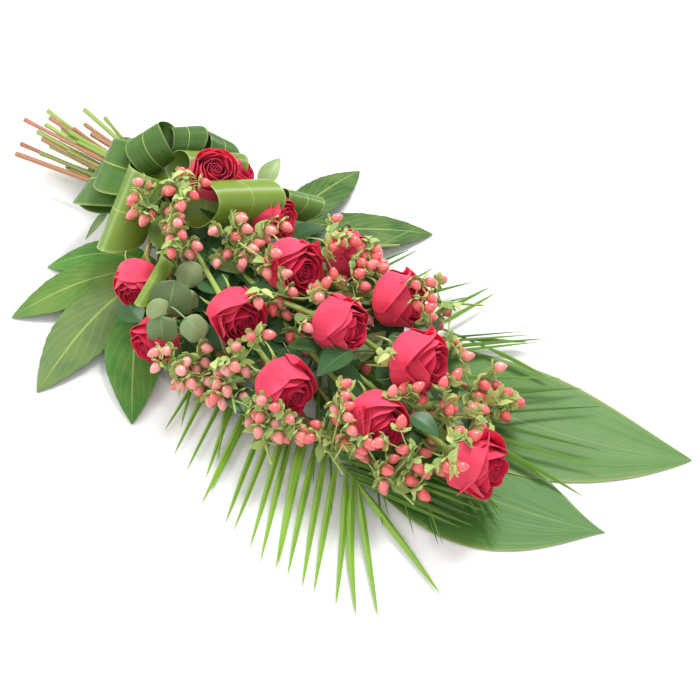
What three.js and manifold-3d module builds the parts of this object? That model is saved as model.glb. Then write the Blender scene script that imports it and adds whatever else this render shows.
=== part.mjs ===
// A tied funeral sheaf of red roses and coral hypericum, laid flat on a table.
// Long stems pass through one twine binding. Above it they fan out into the blooms and the
// berry sprays, and below it they spread to their cut ends. Palm fronds, two fatsia leaves
// and two long aspidistra leaves back the flowers, and rolled aspidistra leaves hide the twine.
//
// Millimetres, +Z up. The layout is drawn with +X along the sheaf, from the cut ends to the
// leaf tips, and its origin on the table under the binding. The finished group is then moved
// so that the origin lies under the middle of the whole sheaf.
import * as THREE from "three";
import { ConvexGeometry } from "three/addons/geometries/ConvexGeometry.js";
import { mergeVertices } from "three/addons/utils/BufferGeometryUtils.js";
import Module from "manifold-3d";

const wasm = await Module();
wasm.setup();

// Driving dimensions
const BUNDLE_HEIGHT = 32; // middle of the binding above the table
const SLOT_PITCH = 5.8; // one stem to the next inside the binding
const SLOT_RINGS = 3; // a hexagon of 37 stem places
const TIED = 10; // the stems run straight this far either side of the binding's middle
const STATION = 60; // beyond it their rings stand this far apart along X
const ROSE_STEM = 2.6; // stem radii
const SPRAY_STEM = 2.2;
const LEAF_STEM = 2.3;
const STEM_SIDES = 4;
const PRESSED = 2.65; // radius of every stem inside the binding
const STEM_GAP = 0.8; // least clearance between two stems
const CLEARANCE = 0.35; // between any two pieces that would touch
const BLADE = 0.9; // leaf and petal thickness
const BLOOM_RADIUS = 26;
const BLOOM_HEIGHT = 44;
const HIP = 6; // the bloom sits this far above the end of its stem
const BERRY_LENGTH = 12.5;
const BERRY_WIDTH = 9.6;
const TABLE_CLEAR = 15; // stems run at least this high above the table

const COLOURS = {
  petal: [0xb3122e, 0.55],
  stem: [0x6f9440, 0.5],
  berry: [0xef6f73, 0.3],
  fatsia: [0x4d8a33, 0.45],
  palm: [0x77a83a, 0.5],
  aspidistra: [0x4c8a3c, 0.35],
  eucalyptus: [0x6f8f6c, 0.6],
  twine: [0xb59a68, 0.9],
};

// Where each rose stands: the bloom's middle, the way it faces (heading in plan from +X,
// pitch above the table) and how far its stem runs on behind the binding.
const ROSES = [
  { at: [80, -4, 104], heading: -15, pitch: 58, tail: 112 },
  { at: [97, 42, 76], heading: 38, pitch: 30, tail: 128 },
  { at: [151, 6, 82], heading: 12, pitch: 14, tail: 150 },
  { at: [88, -114, 54], heading: -62, pitch: -8, tail: 140 },
  { at: [142, -148, 44], heading: -86, pitch: -2, tail: 165 },
  { at: [201, -105, 80], heading: -19, pitch: 6, tail: 158 },
  { at: [207, -38, 92], heading: -6, pitch: 12, tail: 120 },
  { at: [224, 16, 76], heading: 24, pitch: 18, tail: 146 },
  { at: [281, -61, 86], heading: 4, pitch: 10, tail: 134 },
  { at: [279, -129, 66], heading: -18, pitch: 0, tail: 168 },
  { at: [293, 4, 74], heading: 16, pitch: 12, tail: 155 },
  { at: [354, -48, 80], heading: 16, pitch: 12, tail: 125 },
  { at: [360, -109, 64], heading: -14, pitch: 6, tail: 162 },
  { at: [446, -86, 54], heading: 4, pitch: 4, tail: 150 },
];

// Where each hypericum head forks, and the way it points.
const SPRAYS = [
  { at: [46, -52, 76], heading: -75, pitch: 40, tail: 150 },
  { at: [92, -66, 78], heading: -40, pitch: 30, tail: 105 },
  { at: [140, -42, 66], heading: -30, pitch: 62, tail: 142 },
  { at: [208, 50, 52], heading: 28, pitch: 14, tail: 130 },
  { at: [246, -22, 52], heading: 0, pitch: 80, tail: 160 },
  { at: [176, -148, 36], heading: -52, pitch: 4, tail: 118 },
  { at: [224, -142, 42], heading: -38, pitch: 6, tail: 138 },
  { at: [276, -158, 32], heading: -36, pitch: 4, tail: 100 },
  { at: [326, -136, 34], heading: -26, pitch: 6, tail: 147 },
  { at: [384, -128, 30], heading: -14, pitch: 4, tail: 128 },
  { at: [394, -72, 38], heading: 80, pitch: 50, tail: 116 },
  { at: [388, -16, 42], heading: 14, pitch: 10, tail: 136 },
  { at: [304, 50, 42], heading: 24, pitch: 10, tail: 122 },
];

// Leafy pieces with a stem of their own in the bundle: the stem ends where the leaf starts.
const LEAF_STEMS = {
  fatsia_near: { at: [60, -64, 19], heading: -60, pitch: -4, tail: 96 },
  fatsia_far: { at: [111, 38, 20], heading: 50, pitch: -4, tail: 104 },
  palm_near: { at: [140, -72, 12], heading: -16, pitch: -4, tail: 90 },
  palm_middle: { at: [230, -40, 13], heading: 2, pitch: -3, tail: 98 },
  palm_far: { at: [172, 28, 13], heading: 9, pitch: -3, tail: 94 },
  aspidistra_long: { at: [250, -6, 6], heading: 3, pitch: -4, tail: 110 },
  aspidistra_short: { at: [250, -76, 6], heading: -10, pitch: -4, tail: 118 },
  eucalyptus: { at: [124, -80, 52], heading: -70, pitch: 22, tail: 86 },
};

const RAD = Math.PI / 180;
const vec = (x, y, z) => new THREE.Vector3(x, y, z);
const mix = THREE.MathUtils.lerp;
const UP = vec(0, 0, 1);

function direction(heading, pitch) {
  const flat = Math.cos(pitch * RAD);
  return vec(flat * Math.cos(heading * RAD), flat * Math.sin(heading * RAD), Math.sin(pitch * RAD));
}

// Repeatable random numbers, one stream for each piece.
function stream(seed) {
  let state = (seed * 7919 + 17) >>> 0;
  return () => {
    state = (Math.imul(state, 1664525) + 1013904223) >>> 0;
    return state / 4294967296;
  };
}

// Closed three.js geometry, with shared vertices merged, to a solid that faces outwards.
function toSolid(positions, index) {
  const make = (order) =>
    new wasm.Manifold(
      new wasm.Mesh({ numProp: 3, vertProperties: positions, triVerts: new Uint32Array(order) }),
    );
  const made = make(index);
  if (made.volume() >= 0) return made;
  const turned = [];
  for (let i = 0; i < index.length; i += 3) turned.push(index[i], index[i + 2], index[i + 1]);
  return make(turned);
}

const joined = (solids) => wasm.Manifold.union(solids);

// A unit geometry whose every vertex is put in its place by a formula.
function shaped(unit, place) {
  unit.deleteAttribute("normal");
  unit.deleteAttribute("uv");
  const merged = mergeVertices(unit, 1e-4);
  const source = merged.attributes.position;
  const positions = new Float32Array(source.count * 3);
  const point = vec(0, 0, 0);
  for (let i = 0; i < source.count; i++) {
    point.fromBufferAttribute(source, i);
    place(point).toArray(positions, i * 3);
  }
  return toSolid(positions, Array.from(merged.index.array));
}

// A thin closed blade round a curved mid-surface, split into triangles alike on both faces.
// The surface gives the point at s along it, 0 to 1, and t across it, -1 to 1.
function blade(along, across, surface, thickness) {
  const positions = [];
  const columns = across + 1;
  const count = (along + 1) * columns;
  const step = 1e-3;
  for (const side of [0.5, -0.5])
    for (let i = 0; i <= along; i++)
      for (let j = 0; j <= across; j++) {
        const s = i / along;
        const t = (2 * j) / across - 1;
        const ds = surface(Math.min(s + step, 1), t).sub(surface(Math.max(s - step, 0), t));
        const dt = surface(s, t + step).sub(surface(s, t - step));
        const normal = ds.cross(dt).normalize();
        const point = surface(s, t).addScaledVector(normal, side * thickness);
        point.toArray(positions, positions.length);
      }
  const index = [];
  const quad = (a, b, c, d) => index.push(a, b, c, a, c, d);
  const at = (i, j) => i * columns + j;
  for (let i = 0; i < along; i++)
    for (let j = 0; j < across; j++) {
      const [a, b, c, d] = [at(i, j), at(i + 1, j), at(i + 1, j + 1), at(i, j + 1)];
      index.push(a, b, c, a, c, d);
      index.push(a + count, c + count, b + count, a + count, d + count, c + count);
    }
  for (let i = 0; i < along; i++) {
    quad(at(i, 0), at(i, 0) + count, at(i + 1, 0) + count, at(i + 1, 0));
    quad(at(i + 1, across), at(i + 1, across) + count, at(i, across) + count, at(i, across));
  }
  for (let j = 0; j < across; j++) {
    quad(at(0, j + 1), at(0, j + 1) + count, at(0, j) + count, at(0, j));
    quad(at(along, j), at(along, j) + count, at(along, j + 1) + count, at(along, j + 1));
  }
  return toSolid(new Float32Array(positions), index);
}

// Two directions square to one another and to an axis.
function sides(axis) {
  const first = Math.abs(axis.z) > 0.95 ? vec(1, 0, 0) : UP.clone();
  const across = first.clone().cross(axis).normalize();
  return [across, axis.clone().cross(across).normalize()];
}

// The way round an axis at an angle.
function around(axis, angle) {
  const [u, v] = sides(axis);
  return u.multiplyScalar(Math.cos(angle)).addScaledVector(v, Math.sin(angle));
}

// A straight round form: a ring of each radius at each distance along an axis, then a point.
function spindle(root, axis, distances, radii, count) {
  const [u, v] = sides(axis);
  const last = distances.length - 1;
  return shaped(new THREE.ConeGeometry(1, 1, count, last), (p) => {
    const k = Math.round((p.y + 0.5) * last);
    const centre = root.clone().addScaledVector(axis, distances[k]);
    if (k === last) return centre;
    const unit = radii[k] / (1 - k / last);
    return centre.addScaledVector(u, p.x * unit).addScaledVector(v, p.z * unit);
  });
}

// A slim pointed leaflet with a keel, three-sided, through a middle point. Grown, it is a
// four-sided sleeve that lies outside the leaflet all along.
function needle(points, width, keel, grow) {
  const last = points.length - 1;
  const reach = points[last].clone().sub(points[0]).normalize();
  const [u, v] = sides(reach);
  const sizes = (k) => (k === 0 ? [0.22, 0.5] : k < last ? [1, 1] : [0, 0]);
  if (grow > 0)
    return shaped(new THREE.CylinderGeometry(1, 1, 1, 4, last, false, Math.PI / 4), (p) => {
      const k = Math.round((p.y + 0.5) * last);
      const [wide, tall] = sizes(k);
      const ahead = k === 0 ? -grow : k === last ? grow : 0;
      const point = points[k].clone().addScaledVector(reach, ahead);
      point.addScaledVector(u, p.x * Math.SQRT2 * (0.5 * width * wide + grow));
      return point.addScaledVector(v, p.z * Math.SQRT2 * (0.75 * keel * tall + grow));
    });
  return shaped(new THREE.ConeGeometry(1, 1, 3, last), (p) => {
    const k = Math.round((p.y + 0.5) * last);
    if (k === last) return points[last].clone();
    const [wide, tall] = sizes(k);
    const ring = 1 - k / last;
    const point = points[k].clone().addScaledVector(u, (p.x / ring / Math.sqrt(3)) * width * wide);
    return point.addScaledVector(v, (p.z / ring - 0.25) * keel * tall);
  });
}

// An egg: a coarse ball stretched along an axis, blunt end first.
function egg(start, axis, length, width, count, rings) {
  const [u, v] = sides(axis);
  return shaped(new THREE.SphereGeometry(1, count, rings), (p) => {
    const along = (p.y + 1) / 2;
    const swell = (width / 2) * (1.1 - 0.22 * along);
    const point = start.clone().addScaledVector(axis, along * length);
    return point.addScaledVector(u, p.x * swell).addScaledVector(v, p.z * swell);
  });
}

// An oval leaf from its base along a direction, arched along and folded a little at the rib.
function ovalLeaf(base, out, length, width, arch, along, grow) {
  const flat = UP.clone().cross(out).normalize();
  const over = out.clone().cross(flat).normalize();
  const surface = (s, t) => {
    const half = Math.max(0.6, (width / 2) * Math.sin(Math.PI * (0.01 + 0.99 * s) ** 0.85)) + grow;
    const lift = length * arch * (0.5 - 2 * (s - 0.5) ** 2) + 0.15 * half * Math.abs(t);
    const point = base.clone().addScaledVector(out, s * length);
    return point.addScaledVector(flat, t * half).addScaledVector(over, lift);
  };
  return blade(along, 2, surface, BLADE + 2 * grow);
}

// Stem places inside the binding, lowest row first, each row from the near side to the far.
function bundleSlots() {
  const slots = [];
  for (let r = -SLOT_RINGS; r <= SLOT_RINGS; r++) {
    const row = [];
    for (let q = -SLOT_RINGS; q <= SLOT_RINGS; q++)
      if (Math.abs(q + r) <= SLOT_RINGS)
        row.push([SLOT_PITCH * (q + r / 2), (SLOT_PITCH * r * Math.sqrt(3)) / 2]);
    slots.push(row.sort((a, b) => a[0] - b[0]));
  }
  return slots;
}

// Every stem that passes through the binding, with where its head starts.
function allStems() {
  const stems = [];
  const add = (name, kind, radius, spec, back) => {
    const axis = direction(spec.heading, spec.pitch);
    const end = vec(...spec.at).addScaledVector(axis, -back);
    stems.push({ name, kind, radius, axis, end, tail: spec.tail });
  };
  const back = BLOOM_HEIGHT / 2 + HIP;
  ROSES.forEach((spec, i) => add(`rose_${i + 1}`, "rose", ROSE_STEM, spec, back));
  SPRAYS.forEach((spec, i) => add(`hypericum_${i + 1}`, "spray", SPRAY_STEM, spec, 0));
  for (const [name, spec] of Object.entries(LEAF_STEMS)) add(name, "leaf", LEAF_STEM, spec, 0);
  return stems;
}

// The lowest heads and the longest stems take the lowest rows, and within a row the stems
// keep the order in which their heads lie from the near side to the far.
function giveSlots(stems) {
  const rank = (stem) => stem.end.z - 0.12 * stem.end.x - (stem.kind === "leaf" ? 60 : 0);
  const queue = [...stems].sort((a, b) => rank(a) - rank(b));
  for (const row of bundleSlots()) {
    const here = queue.splice(0, row.length);
    here.sort((a, b) => a.end.y / a.end.x - b.end.y / b.end.x);
    here.forEach((stem, i) => (stem.slot = row[i]));
  }
}

// First course of a stem: spread out behind the binding, straight through it, then a smooth
// turn to its head. Every point but the two ends stands at a station along X.
function layStem(stem) {
  const { end, axis, slot, tail } = stem;
  const behind = (x) => {
    const far = (-x - TIED) / 150;
    return vec(x, slot[0] * (1 + 1.3 * far), BUNDLE_HEIGHT + slot[1] * (1 + 0.3 * far));
  };
  const slope = (rise, run) => THREE.MathUtils.clamp(rise / Math.max(run, 0.25), -1.6, 1.6);
  const course = (t, a, b, da, db) =>
    (2 * t ** 3 - 3 * t ** 2 + 1) * a +
    (t ** 3 - 2 * t ** 2 + t) * da +
    (3 * t ** 2 - 2 * t ** 3) * b +
    (t ** 3 - t ** 2) * db;
  stem.line = [behind(-tail)];
  const stations = Math.floor((tail - TIED - 8) / STATION);
  for (let k = stations; k >= 0; k--) stem.line.push(behind(-TIED - k * STATION));
  const start = behind(-TIED).setX(TIED);
  const length = end.x - TIED;
  for (let x = 0; x < length - 8; x += STATION) {
    const t = x / length;
    const y = course(t, start.y, end.y, (end.y - start.y) * 0.9, slope(axis.y, axis.x) * length);
    const z = course(t, start.z, end.z, -0.1 * length, slope(axis.z, axis.x) * length);
    stem.line.push(vec(TIED + x, y, z));
  }
  stem.line.push(end.clone());
}

// One stretch of a stem, between two of its points, and what it takes to shift it sideways.
function stretches(stem) {
  const held = (k) => k === stem.line.length - 1 || Math.abs(stem.line[k].x) === TIED;
  return stem.line.slice(1).map((to, i) => {
    const from = stem.line[i];
    const free = [held(i) ? 0 : 1, held(i + 1) ? 0 : 1];
    return { stem, from, to, free };
  });
}

function shift({ from, to, free }, share, dy, dz) {
  const weights = [free[0] * (1 - share), free[1] * share];
  const total = weights[0] ** 2 + weights[1] ** 2;
  if (total < 0.01) return;
  [from, to].forEach((point, i) => {
    point.y += (dy * weights[i]) / total;
    point.z += (dz * weights[i]) / total;
  });
}

// Eases two stretches apart at the place along X where they come closest.
function easePair(a, b) {
  const low = Math.max(a.from.x, b.from.x);
  const high = Math.min(a.to.x, b.to.x);
  if (high - low < 1e-6) return;
  const share = (part, x) => (x - part.from.x) / (part.to.x - part.from.x);
  const between = (x) => {
    const p = a.from.clone().lerp(a.to, share(a, x));
    const q = b.from.clone().lerp(b.to, share(b, x));
    return q.sub(p);
  };
  const [start, end] = [between(low), between(high)];
  const change = end.clone().sub(start);
  const t = THREE.MathUtils.clamp(-start.dot(change) / (change.lengthSq() || 1), 0, 1);
  const apart = start.lerp(end, t);
  const distance = apart.length() || 1e-6;
  const girth = ({ stem, from, to }) => {
    const run = to.clone().sub(from);
    return stem.radius * Math.min(1.7, run.length() / run.x);
  };
  const wanted = girth(a) + girth(b) + STEM_GAP;
  if (distance >= wanted) return;
  const x = mix(low, high, t);
  const push = ((wanted - distance) * 0.4) / distance;
  shift(a, share(a, x), -apart.y * push, -apart.z * push);
  shift(b, share(b, x), apart.y * push, apart.z * push);
}

// Eases a stretch out of a bloom that isn't its own.
function easeRound(part, bloom) {
  const own = part.stem.kind === "rose" && bloom.distanceTo(part.stem.end) < BLOOM_HEIGHT;
  if (own) return;
  for (const share of [0, 0.25, 0.5, 0.75, 1]) {
    const off = part.from.clone().lerp(part.to, share).sub(bloom);
    const clear = BLOOM_RADIUS + 3 + part.stem.radius;
    if (off.length() >= clear) continue;
    const flat = Math.hypot(off.y, off.z) || 1e-6;
    const push = (0.4 * (Math.sqrt(clear ** 2 - off.x ** 2) - flat)) / flat;
    shift(part, share, off.y * push, off.z * push);
  }
}

// Stems that would touch are eased apart, and pass round the blooms and above the table.
function easeApart(stems) {
  const parts = stems.map(stretches);
  const blooms = ROSES.map((spec) => vec(...spec.at));
  const rounds = 160;
  for (let round = 0; round < rounds; round++) {
    parts.forEach((mine, i) => {
      for (const theirs of parts.slice(i + 1))
        for (const a of mine) for (const b of theirs) easePair(a, b);
      for (const a of mine) for (const bloom of blooms) easeRound(a, bloom);
    });
    for (const { line, radius } of stems)
      for (let k = 1; k < line.length - 1; k++) {
        if (Math.abs(line[k].x) === TIED) continue;
        line[k].z = Math.max(line[k].z, TABLE_CLEAR + radius);
        if (round > rounds * 0.7) continue;
        const span = (line[k].x - line[k - 1].x) / (line[k + 1].x - line[k - 1].x);
        line[k].lerp(line[k - 1].clone().lerp(line[k + 1], span), 0.15);
      }
  }
}

// A stem's rings stand square to X, stretched so that a slanted stem keeps its thickness. In
// the binding every stem is pressed against its neighbours.
function stemRod({ line, radius }, grow) {
  const last = line.length - 1;
  return shaped(new THREE.CylinderGeometry(1, 1, 1, STEM_SIDES, last), (p) => {
    const k = Math.round((0.5 - p.y) * last);
    const run = line[Math.min(k + 1, last)].clone().sub(line[Math.max(k - 1, 0)]);
    const stretch = (rise) => radius * Math.hypot(1, Math.min(1.5, Math.abs(rise / run.x)));
    const tied = Math.abs(line[k].x) === TIED;
    const wide = p.x * ((tied ? PRESSED : stretch(run.y)) + grow);
    const tall = p.z * ((tied ? PRESSED : stretch(run.z)) + grow);
    return vec(line[k].x, line[k].y + wide, line[k].z + tall);
  });
}

// Roses
// The bloom is drawn upright with its base at the origin: a tight heart on a swollen base,
// and two layers of petals whose feet are sunk in that base.
const HEART = [[0, 0], [12, 4], [8.5, 36], [0, 40]];
const PETALS = [
  { count: 2, radius: 15.5, foot: 6, top: 42, span: 168, curl: 1, turn: 0 },
  { count: 3, radius: 23, foot: 7, top: 37, span: 117, curl: 4, turn: 62 },
];

function petal(layer, turn, grow) {
  const half = (layer.span / 2) * RAD;
  const surface = (s, t) => {
    const rise = Math.min(1, 2 * s);
    const rim = Math.max(0, 2 * s - 1);
    const radius = mix(layer.foot, layer.radius, rise) + layer.curl * rim + 1.2 * t;
    const angle = turn + t * half * mix(0.3, 1, rise) * (1 - 0.25 * rim);
    const height = mix(6, layer.top, s) - 5 * t * t * rim;
    return vec(radius * Math.cos(angle), radius * Math.sin(angle), height);
  };
  return blade(2, 2, surface, BLADE + 2 * grow);
}

function bloom(grow) {
  const profile = HEART.map(([radius, height], i) => {
    const ends = i === 0 || i === HEART.length - 1;
    return new THREE.Vector2(ends ? 0 : radius + grow, height + (i < 2 ? -grow : grow));
  });
  const heart = shaped(new THREE.LatheGeometry(profile, 6), (p) => vec(p.x, -p.z, p.y));
  const solids = [heart];
  for (const layer of PETALS)
    for (let i = 0; i < layer.count; i++)
      solids.push(petal(layer, (layer.turn + (360 * i) / layer.count) * RAD, grow));
  return joined(solids);
}

// The space that a bloom takes up, for keeping leaves and stalks out of it.
function bloomLump() {
  const { vertProperties } = bloom(CLEARANCE + 0.1).getMesh();
  const points = [];
  for (let i = 0; i < vertProperties.length; i += 3) points.push(vec(...vertProperties.subarray(i, i + 3)));
  return shaped(new ConvexGeometry(points), (p) => p);
}

function bloomPlace(stem, turn) {
  const base = stem.end.clone().addScaledVector(stem.axis, HIP);
  const turned = new THREE.Quaternion().setFromUnitVectors(UP, stem.axis);
  turned.multiply(new THREE.Quaternion().setFromAxisAngle(UP, turn));
  return new THREE.Matrix4().compose(base, turned, vec(1, 1, 1)).elements;
}

// The hip under a bloom with its five reflexed sepals: one star-shaped solid.
function calyx({ end, axis }, grow) {
  const rings = [[-5, 1], [-1, 5.2], [HIP - CLEARANCE, 4.6]];
  const [u, v] = sides(axis);
  return shaped(new THREE.CylinderGeometry(1, 1, 1, 10, 2), (p) => {
    const k = Math.round((p.y + 0.5) * 2);
    const [height, radius] = rings[k];
    const point = end.clone().addScaledVector(axis, height + (k - 1) * grow);
    const size = Math.hypot(p.x, p.z);
    if (size < 0.5) return point;
    const spoke = Math.round((Math.atan2(p.x, p.z) / Math.PI) * 5);
    const tip = k === 1 && spoke % 2 === 0;
    const reach = (tip ? 21 : radius) + grow;
    point.addScaledVector(axis, tip ? -6 : 0);
    return point.addScaledVector(u, (p.x / size) * reach).addScaledVector(v, (p.z / size) * reach);
  });
}

// The calyx, and on every other stem a leaf beside it.
function roseGreens(stem, index) {
  const parts = [{ trim: true, options: [(grow) => calyx(stem, grow)] }];
  if (index % 2 === 0) return parts;
  const random = stream(100 + index);
  const neck = stem.line[stem.line.length - 2].clone().lerp(stem.end, 0.6);
  const options = [];
  for (let k = 0; k < 8; k++) {
    const heading = 2 * Math.PI * random();
    const out = vec(Math.cos(heading), Math.sin(heading), 0.5 * random() - 0.1).normalize();
    options.push((grow) => ovalLeaf(neck, out, 52, 28, 0.15, 2, grow));
  }
  parts.push({ options });
  return parts;
}

// Hypericum
// A forked head: pairs of opposite branches, each a quarter turn from the last pair, and one
// on top. Every branch ends in a berry, and small leaves stand under the lowest pair.
const TIER_STEP = 13;
const BRANCHES = [34, 28, 21];
// The turn and lean, in radians, that a branch tries in turn until it is free.
const BRANCH_TRIES = [[0, 0.75], [0.5, 0.85], [-0.5, 0.85], [0, 0.45], [1, 0.7], [-1, 0.7]];

function berry(root, way, reach, grow, foot = 0.8) {
  const distances = [-grow, reach, reach + 0.42 * BERRY_LENGTH, reach + BERRY_LENGTH + grow];
  return spindle(root, way, distances, [foot + grow, 1.9 + grow, BERRY_WIDTH / 2 + grow], 5);
}

function sprayHead(stem, index) {
  const { end, axis } = stem;
  const random = stream(200 + index);
  const start = random() * Math.PI;
  const foot = end.clone().addScaledVector(axis, -1.5);
  const top = TIER_STEP * BRANCHES.length + 10;
  const parts = [{ trim: true, options: [(grow) => berry(foot, axis, top, grow, 1.5)] }];
  BRANCHES.forEach((length, tier) => {
    for (const side of [0, 1]) {
      const node = end.clone().addScaledVector(axis, 5 + tier * TIER_STEP);
      const roll = start + tier * (Math.PI / 2) + side * Math.PI;
      const reach = length * (0.85 + 0.3 * random());
      const options = BRANCH_TRIES.map(([turn, lean]) => {
        const out = around(axis, roll + turn);
        const root = node.clone().addScaledVector(out, 0.4);
        const way = axis.clone().multiplyScalar(Math.cos(lean)).addScaledVector(out, Math.sin(lean));
        return (grow) => berry(root, way, reach, grow);
      });
      parts.push({ options });
      if (tier + side > 0) continue;
      const out = around(axis, roll + 1.4);
      const leaf = [0.3, 12, 27].map((far) => node.clone().addScaledVector(out, far));
      leaf[2].addScaledVector(axis, 7);
      parts.push({ options: [(grow) => needle(leaf, 13, 1.2, grow)] });
    }
  });
  return parts;
}

// Fatsia
// One palmate leaf: pointed lobes fanned about the end of its stalk and webbed at their feet,
// the whole arched over so that every tip lies on the table. Each lobe has its heading and
// its length, and the outline is drawn through four places on each lobe.
const FATSIA = {
  fatsia_near: [[215, 105], [242, 142], [275, 172], [306, 179], [333, 177], [357, 96]],
  fatsia_far: [[156, 74], [126, 102], [90, 136], [47, 156], [16, 108]],
};
const LOBE_SHARE = 0.37; // of the way to the next lobe, where the lobe is still this long:
const LOBE_SHOULDER = 0.74;
const LOBE_NOTCH = 0.44;

function fatsiaOutline(lobes) {
  const outline = [];
  lobes.forEach(([heading, length], k) => {
    const [next, nextLength] = lobes[k + 1] ?? [heading, length];
    const wrapped = ((next - heading + 540) % 360) - 180;
    const shoulder = (from, reach) => [heading + wrapped * from, reach * LOBE_SHOULDER];
    outline.push([heading, length]);
    if (!lobes[k + 1]) return;
    const notch = LOBE_NOTCH * Math.min(length, nextLength);
    outline.push(shoulder(LOBE_SHARE, length), [heading + wrapped / 2, notch]);
    outline.push(shoulder(1 - LOBE_SHARE, nextLength));
  });
  const edge = (lobe, other) => {
    const side = Math.sign(((lobe[0] - other[0] + 540) % 360) - 180);
    return [[lobe[0] + side * 9, lobe[1] * LOBE_SHOULDER], [lobe[0] + side * 22, lobe[1] * 0.4]];
  };
  const first = edge(lobes[0], lobes[1]).reverse();
  const final = edge(lobes[lobes.length - 1], lobes[lobes.length - 2]);
  return [...first, ...outline, ...final];
}

function fatsiaLeaf(stem, lobes) {
  const outline = fatsiaOutline(lobes);
  const columns = outline.length - 1;
  const leaf = (grow) => {
    const surface = (s, t) => {
      const place = THREE.MathUtils.clamp(((t + 1) / 2) * columns, 0, columns);
      const k = Math.min(columns - 1, Math.floor(place));
      const [from, to] = [outline[k], outline[k + 1]].map(([heading, length]) => {
        const reach = 3 + s * (length + grow - 3);
        const height = stem.end.z - (stem.end.z - BLADE / 2) * (reach / length) ** 2 * s ** 0.3;
        return stem.end.clone().setZ(height).addScaledVector(direction(heading, 0), reach);
      });
      return from.lerp(to, place - k);
    };
    return blade(2, columns, surface, BLADE + 2 * grow);
  };
  const plate = (grow) => {
    const foot = stem.end.clone().add(vec(0, 0, -3 - grow));
    return egg(foot, UP, 5 + 2 * grow, 16 + 2 * grow, 6, 3);
  };
  return [{ trim: true, options: [plate] }, { trim: true, options: [leaf] }];
}

// Palm fronds
// A midrib that sinks towards the table, with leaflets along both sides. They sweep further
// forwards towards the tip, where one last leaflet carries on the line of the rib.
const PALMS = {
  palm_near: { length: 234, floor: 9, near: 12, far: 3, reach: 146, sweep: [58, 24], last: 118, low: 2 },
  palm_middle: { length: 190, floor: 12, near: 5, far: 5, reach: 112, sweep: [56, 18], last: 96, low: 9 },
  palm_far: { length: 190, floor: 11, near: 2, far: 9, reach: 100, sweep: [66, 26], last: 76, low: 7 },
};

function palmFrond(stem, spec) {
  const heading = Math.atan2(stem.axis.y, stem.axis.x) / RAD;
  const rib = (s) => {
    const point = stem.end.clone().addScaledVector(direction(heading, 0), s * spec.length);
    return point.setZ(mix(stem.end.z, spec.floor, Math.min(1, s * 1.5)));
  };
  const reach = spec.length / 2;
  const low = rib(1).sub(rib(0)).normalize();
  const midrib = (grow) => {
    const radii = [2.2 + grow, 1.9 + grow, 1.4 + grow];
    const distances = [-2, reach, spec.length - 8, spec.length + 2];
    return spindle(stem.end, low, distances, radii, 4);
  };
  const parts = [{ trim: true, options: [midrib] }];
  const leaflet = (s, turn, length) => {
    const out = direction(heading + turn, 0);
    const root = stem.end.clone().addScaledVector(low, s * spec.length).addScaledVector(out, 0.5);
    const middle = root.clone().addScaledVector(out, length * 0.42);
    const tip = root.clone().addScaledVector(out, length);
    middle.setZ(Math.max(spec.floor, mix(root.z, spec.floor, 0.6)) + 1);
    tip.setZ(spec.low);
    return (grow) => needle([root, middle, tip], 9, 1.5, grow);
  };
  for (const [side, count] of [[-1, spec.near], [1, spec.far]])
    for (let i = 0; i < count; i++) {
      const s = 0.12 + (0.86 * (i + 0.5)) / count;
      const length = spec.reach * (0.76 + 0.24 * Math.sin(Math.PI * s));
      parts.push({ trim: true, options: [leaflet(s, side * mix(...spec.sweep, s), length)] });
    }
  parts.push({ trim: true, options: [leaflet(0.985, -4, spec.last)] });
  return parts;
}

// Flat aspidistra leaves
// The blade leaves its stalk, comes down to the table and curves a little to one side.
const LONG_LEAVES = {
  aspidistra_long: { length: 322, width: 128, turn: [3, 26], cup: 4 },
  aspidistra_short: { length: 304, width: 108, turn: [-10, 24], cup: 4 },
};

function longLeaf(stem, { length, width, turn, cup }) {
  const steps = 24;
  const midline = [stem.end.clone()];
  for (let k = 0; k < steps; k++) {
    const way = direction(mix(...turn, (k + 0.5) / steps), 0);
    midline.push(midline[k].clone().addScaledVector(way, length / steps));
  }
  const surface = (grow) => (s, t) => {
    const k = Math.min(steps - 1, Math.floor(s * steps));
    const point = midline[k].clone().lerp(midline[k + 1], s * steps - k);
    const way = direction(mix(...turn, s), 0);
    const swell = Math.sin(Math.PI * (0.04 + 0.96 * s) ** 1.05) ** 0.8;
    const half = Math.max(0.8, (width / 2) * (Number.isNaN(swell) ? 0 : swell)) + grow;
    const low = Math.min(1, s * 2.2);
    point.z = mix(stem.end.z, BLADE / 2, Math.sin((low * Math.PI) / 2));
    point.z += cup * Math.max(0, Math.abs(t) - 0.5) * (1 - s);
    return point.addScaledVector(vec(-way.y, way.x, 0), t * half);
  };
  return [{ trim: true, options: [(grow) => blade(7, 4, surface(grow), BLADE + 2 * grow)] }];
}

// Eucalyptus
// A bare twig with round leaves on alternate sides.
function eucalyptusTwig(stem) {
  const twig = (grow) => {
    const radii = [1.8 + grow, 1.4 + grow];
    return spindle(stem.end.clone().addScaledVector(stem.axis, -2), stem.axis, [0, 40, 72], radii, 4);
  };
  const parts = [{ trim: true, options: [twig] }];
  for (let i = 0; i < 4; i++) {
    const root = stem.end.clone().addScaledVector(stem.axis, 4 + 14 * i);
    const options = [0, 0.7, -0.7, 1.4, -1.4].map((turn) => {
      const out = around(stem.axis, i * 2.4 + turn).addScaledVector(stem.axis, 0.45).normalize();
      return (grow) => ovalLeaf(root, out, 36 - 2 * i, 31 - 2 * i, 0.12, 2, grow);
    });
    parts.push({ options });
  }
  return parts;
}

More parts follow.
